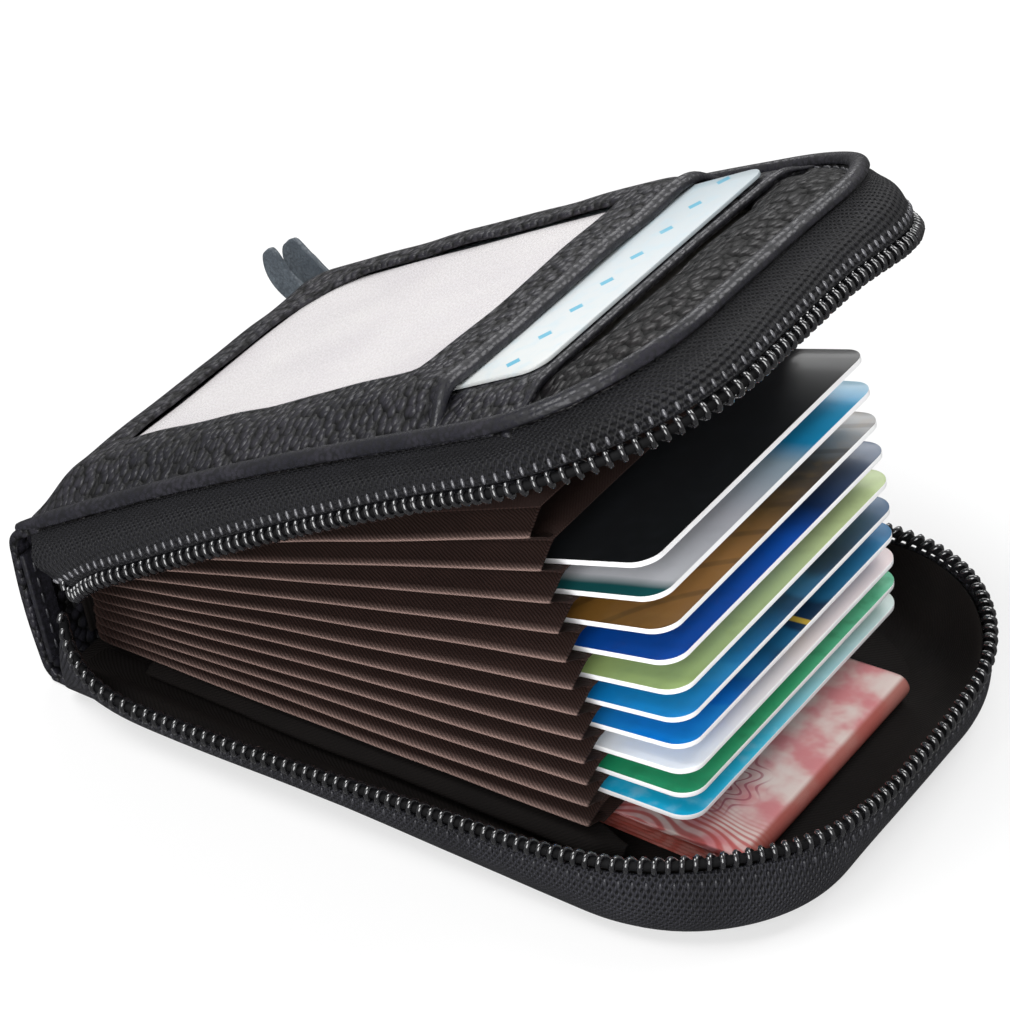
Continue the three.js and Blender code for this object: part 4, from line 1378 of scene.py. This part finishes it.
def makeNotes():
    # sheets folded over into one another, each a little shorter than the one outside it
    v = noteShape
    thickness = noteHigh.z - noteLow.z
    sheets = []
    for number in range(v["sheets"]):
        inset = number * thickness / 2 / v["sheets"]
        flatRadius = thickness / 2 - inset - v["sheet"] / 2
        radius = flatRadius + v["puff"] / 2 * (1 - 0.2 * number)
        bottom = noteLow.z + inset + v["sheet"] / 2
        turn = noteHigh.x - v["short"] - inset - radius
        flat = turn - noteLow.x - number * v["step"]
        bow = math.pi * radius

        def place(along, y):
            curled = smooth((noteLow.y + v["curlReach"] - y) / v["curlReach"])
            lift = curled * v["curl"] * (1 - 0.25 * number)
            if along < flat:
                share = along / flat
                top = bottom + 2 * lerp(flatRadius, radius, share ** 1.4)
                return turn - flat + along, y, top + lift * smooth(1 - share)
            if along < flat + bow:
                angle = (along - flat) / radius
                return turn + radius * math.sin(angle), y, bottom + radius + radius * math.cos(angle)
            return turn - (along - flat - bow), y, bottom

        stops = steps(0, flat, 14) + steps(flat, flat + bow, 10)[1:]
        stops += steps(flat + bow, 2 * flat + bow, 10)[1:]
        ys = steps(noteLow.y + number * 0.4, noteHigh.y - number * 0.5, 14)
        shift = -noteLow.x + turn - flat
        sheet, _ = gridSheet("note", stops, ys, place, lambda along, y: (along + shift, y - noteLow.y))
        thicken(sheet, v["sheet"])
        sheets.append(sheet)
    piece = joinedPieces("folded_notes", sheets)
    cutFrom(piece, noteHigh.y - noteLow.y, v["sheets"] * v["length"], "folded")
    dress(piece, noteMaterial("printed note paper", noteLook), "held_notes", ["note_bundle"])
    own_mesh(piece)


makeNotes()
print("notes made")


# slider and pull

sliderLow, sliderHigh = flatBox("slider_body")
sliderShape = {"plate": 0.9, "round": 1.6, "coilTop": 11.7, "channel": 2.4, "pin": 0.5, "inside": 38.15,
               "roofStart": 2.4, "roofEnd": 1.2, "roofInset": 0.3, "roofRound": 0.3, "lugReach": 1.35,
               "lugHalf": 0.7, "lugTip": 0.6, "lugRound": 0.35}
pin = pivot("pull_swing")


def makeSlider():
    # two plates joined by a roof over the coil, and two lugs that hold the pin
    v = sliderShape
    plate, inside, roof, reach = v["plate"], v["inside"], v["coilTop"], v["lugReach"]
    outside = inside + 2 * plate + v["channel"]
    x0, x1, z0, z1 = sliderLow.x, sliderHigh.x, sliderLow.z, sliderHigh.z
    parts = [block("plate", (x0, y, z0), (x1, y + plate, z1), v["round"], 1) for y in (inside, outside - plate)]
    parts.append(block("roof", (x0 + v["roofStart"], inside + v["roofInset"], roof),
                       (x1 - v["roofEnd"], outside - v["roofInset"], roof + plate), v["roofRound"], 0))
    for side in (-1, 1):
        low, high = sorted((pin.z + side * reach, pin.z + side * (reach + plate)))
        parts.append(block("lug", (pin.x - v["lugHalf"], outside - plate, low),
                           (pin.x + v["lugHalf"], pin.y + v["lugTip"], high), v["lugRound"], 2))
    rod = [(pin.x, pin.y, pin.z + side * (reach + plate / 2)) for side in (-1, 1)]
    parts.append(tube("pin", rod, v["pin"], 3))
    piece = joinedPieces("zip_slider", parts)
    return dress(piece, gunmetal, "slider", ["slider_body"])


pullShape = {"loopStart": 1.15, "loopLength": 7.0, "loopHeight": 7.8, "loopSquare": 0.45, "wire": 0.5,
             "eye": 1.15, "eyeWire": 0.36, "eyeStretch": 2.4, "strapWidth": 3.3, "strapThick": 0.9,
             "strapGap": 0.6, "splay": 3.0, "nearReach": 1.0, "farReach": 0.93, "nearTip": 0.35,
             "farTip": 0.95, "tip": 0.3, "tipSlope": 58,
             "curve": [(0, 0), (7, 0.2), (13.2, 1.0), (17.4, 3.6), (19.2, 7.8)]}
pullPlace = Matrix.Translation(pin)


def makePullLoop():
    # a squared ring and the eye that turns on the pin
    v = pullShape
    near, far = -v["loopStart"] - v["wire"], -v["loopStart"] - v["loopLength"] + v["wire"]
    middle, half, tall = (near + far) / 2, (near - far) / 2, v["loopHeight"] / 2 - v["wire"]

    def circle(count):
        return [(math.cos(angle), math.sin(angle)) for angle in steps(0, 2 * math.pi, count)[:-1]]

    def squared(value):
        return math.copysign(abs(value) ** v["loopSquare"], value)

    ring = [(middle + half * squared(c), 0, tall * squared(s)) for c, s in circle(40)]
    loop = tube("loop", ring, v["wire"], 3, True)
    eye = tube("eye", [(v["eye"] * c, v["eye"] * s, 0) for c, s in circle(24)], v["eyeWire"], 3, True)
    edited(eye, (bpy.ops.transform.resize, {"value": (1, 1, v["eyeStretch"])}))
    piece = joinedPieces("pull_ring", [loop, eye])
    put(piece, pullPlace)
    return dress(piece, gunmetal, "pull", ["pull_loop"])


def makeStrap():
    # one strap round the loop's end bar, both tongues curving up
    v = pullShape
    splay = math.radians(v["splay"])
    radius = v["wire"] + v["strapGap"] + v["strapThick"] / 2
    tips = [0, 0.02, 0.05, 0.1, 0.16]
    runs = tips + steps(0.22, 1, 14)
    stops = [share - 2 for share in runs] + steps(-1, 1, 10)[1:-1] + [2 - share for share in reversed(runs)]

    def place(stop, share):
        if abs(stop) < 1:
            angle = stop * (math.pi / 2 - splay)
            return radius * math.cos(angle), radius * math.sin(angle), share * v["strapWidth"] / 2
        side, tongue = (-1, "near") if stop < 0 else (1, "far")
        reach, spread = v[tongue + "Reach"], v[tongue + "Tip"]
        run = abs(stop) - 1
        back, rise = through(v["curve"], reach * run)
        ahead, higher = through(v["curve"], reach * min(run + 0.02, 1))
        slope = math.atan2(higher - rise, ahead - back) if run < 0.98 else math.radians(v["tipSlope"])
        rounding = math.sqrt(max(1 - max((run - 1 + v["tip"]) / v["tip"], 0) ** 2, 0.02))
        width = share * v["strapWidth"] / 2 * (1 + spread * smooth(run * 1.4)) * rounding
        y = side * (math.cos(splay) * radius + math.sin(splay) * back)
        return math.sin(splay) * radius - back + width * math.sin(slope), y, rise + width * math.cos(slope)

    piece, _ = gridSheet("pull_tongues", stops, [-1, -0.9, -0.5, 0, 0.5, 0.9, 1], place)
    thicken(piece, v["strapThick"])
    put(piece, pullPlace @ Matrix.Translation((-v["loopStart"] - v["loopLength"] + v["wire"], 0, 0)))
    return dress(piece, strapHide, "pull", ["pull_strap"])


makeSlider()
makePullLoop()
makeStrap()
print("slider and pull made")


# stiff boards, sealed inside the covers

boardShape = {"spineCorner": 1.0, "cornerInset": 3.0, "edge": 0.1, "steps": 16, "backMargin": 1.0,
              "frontMargin": 5.0}
for name, place, body, margin in (("back_board", Matrix(), "back_half", boardShape["backMargin"]),
                                  ("front_board", coverPlace, "front_cover", boardShape["frontMargin"])):
    low, high = flatBox(name, place)
    shrink = Vector((margin, margin, 0))
    corners = (boardShape["spineCorner"], corner - boardShape["cornerInset"] - margin)
    board = roundPlate("stiff_" + name, low + shrink, high - shrink, corners, boardShape["edge"],
                       boardShape["steps"])
    put(board, place)
    dress(board, boardGrey, body, [name])
print("boards made")


# floor and light

stage = {"floor": "f4f4f4", "glow": 0.6, "mirrored": 0.15, "world": 0.28, "key": 5.5, "fill": 8.0, "back": 4.0,
         "edge": 1.8}


def makeStage(v):
    floor = started("floor", bpy.ops.mesh.primitive_plane_add, size=8, location=(0, 0, -0.0001))
    material, tree, shader = newMaterial("pale floor", {"Base Color": shade(v["floor"]), "Roughness": 0.9,
                                                        "Specular IOR Level": 0.0})
    light = node(tree, "Emission", {"Color": (1, 1, 1, 1), "Strength": 1.0})
    rays = node(tree, "LightPath").outputs
    seen = sums(tree, "MAXIMUM", rays["Is Camera Ray"], rays["Is Transmission Ray"])
    share = sums(tree, "MULTIPLY", seen, v["glow"])
    both = node(tree, "MixShader", {0: share, 1: shader.outputs[0], 2: light.outputs[0]})
    dim = node(tree, "Emission", {"Color": (1, 1, 1, 1), "Strength": v["mirrored"]})
    mirrored = node(tree, "MixShader", {0: rays["Is Glossy Ray"], 1: both.outputs[0], 2: dim.outputs[0]})
    tree.links.new(mirrored.outputs[0], tree.nodes["Material Output"].inputs[0])
    floor.data.materials.append(material)
    world = bpy.data.worlds.new("studio")
    bpy.context.scene.world = world
    world.use_nodes = True
    background = world.node_tree.nodes["Background"].inputs
    background["Color"].default_value = (1, 1, 1, 1)
    background["Strength"].default_value = v["world"]
    for name, place, size, power in (("key", (-0.35, -0.3, 0.8), 0.5, v["key"]),
                                     ("fill", (0.3, -0.8, 0.36), 0.7, v["fill"]),
                                     ("back", (0.15, 0.6, 0.7), 0.5, v["back"]),
                                     ("edge", (-0.5, 0.6, 0.4), 0.5, v["edge"])):
        bpy.ops.object.light_add(type="AREA", location=place)
        lamp = bpy.context.object
        lamp.name = name
        lamp.data.size = size
        lamp.data.energy = power
        lamp.rotation_euler = (Vector((0, 0, 0.03)) - Vector(place)).to_track_quat("-Z", "Y").to_euler()
    bpy.context.scene.view_settings.view_transform = "Standard"


makeStage(stage)
print("stage made")
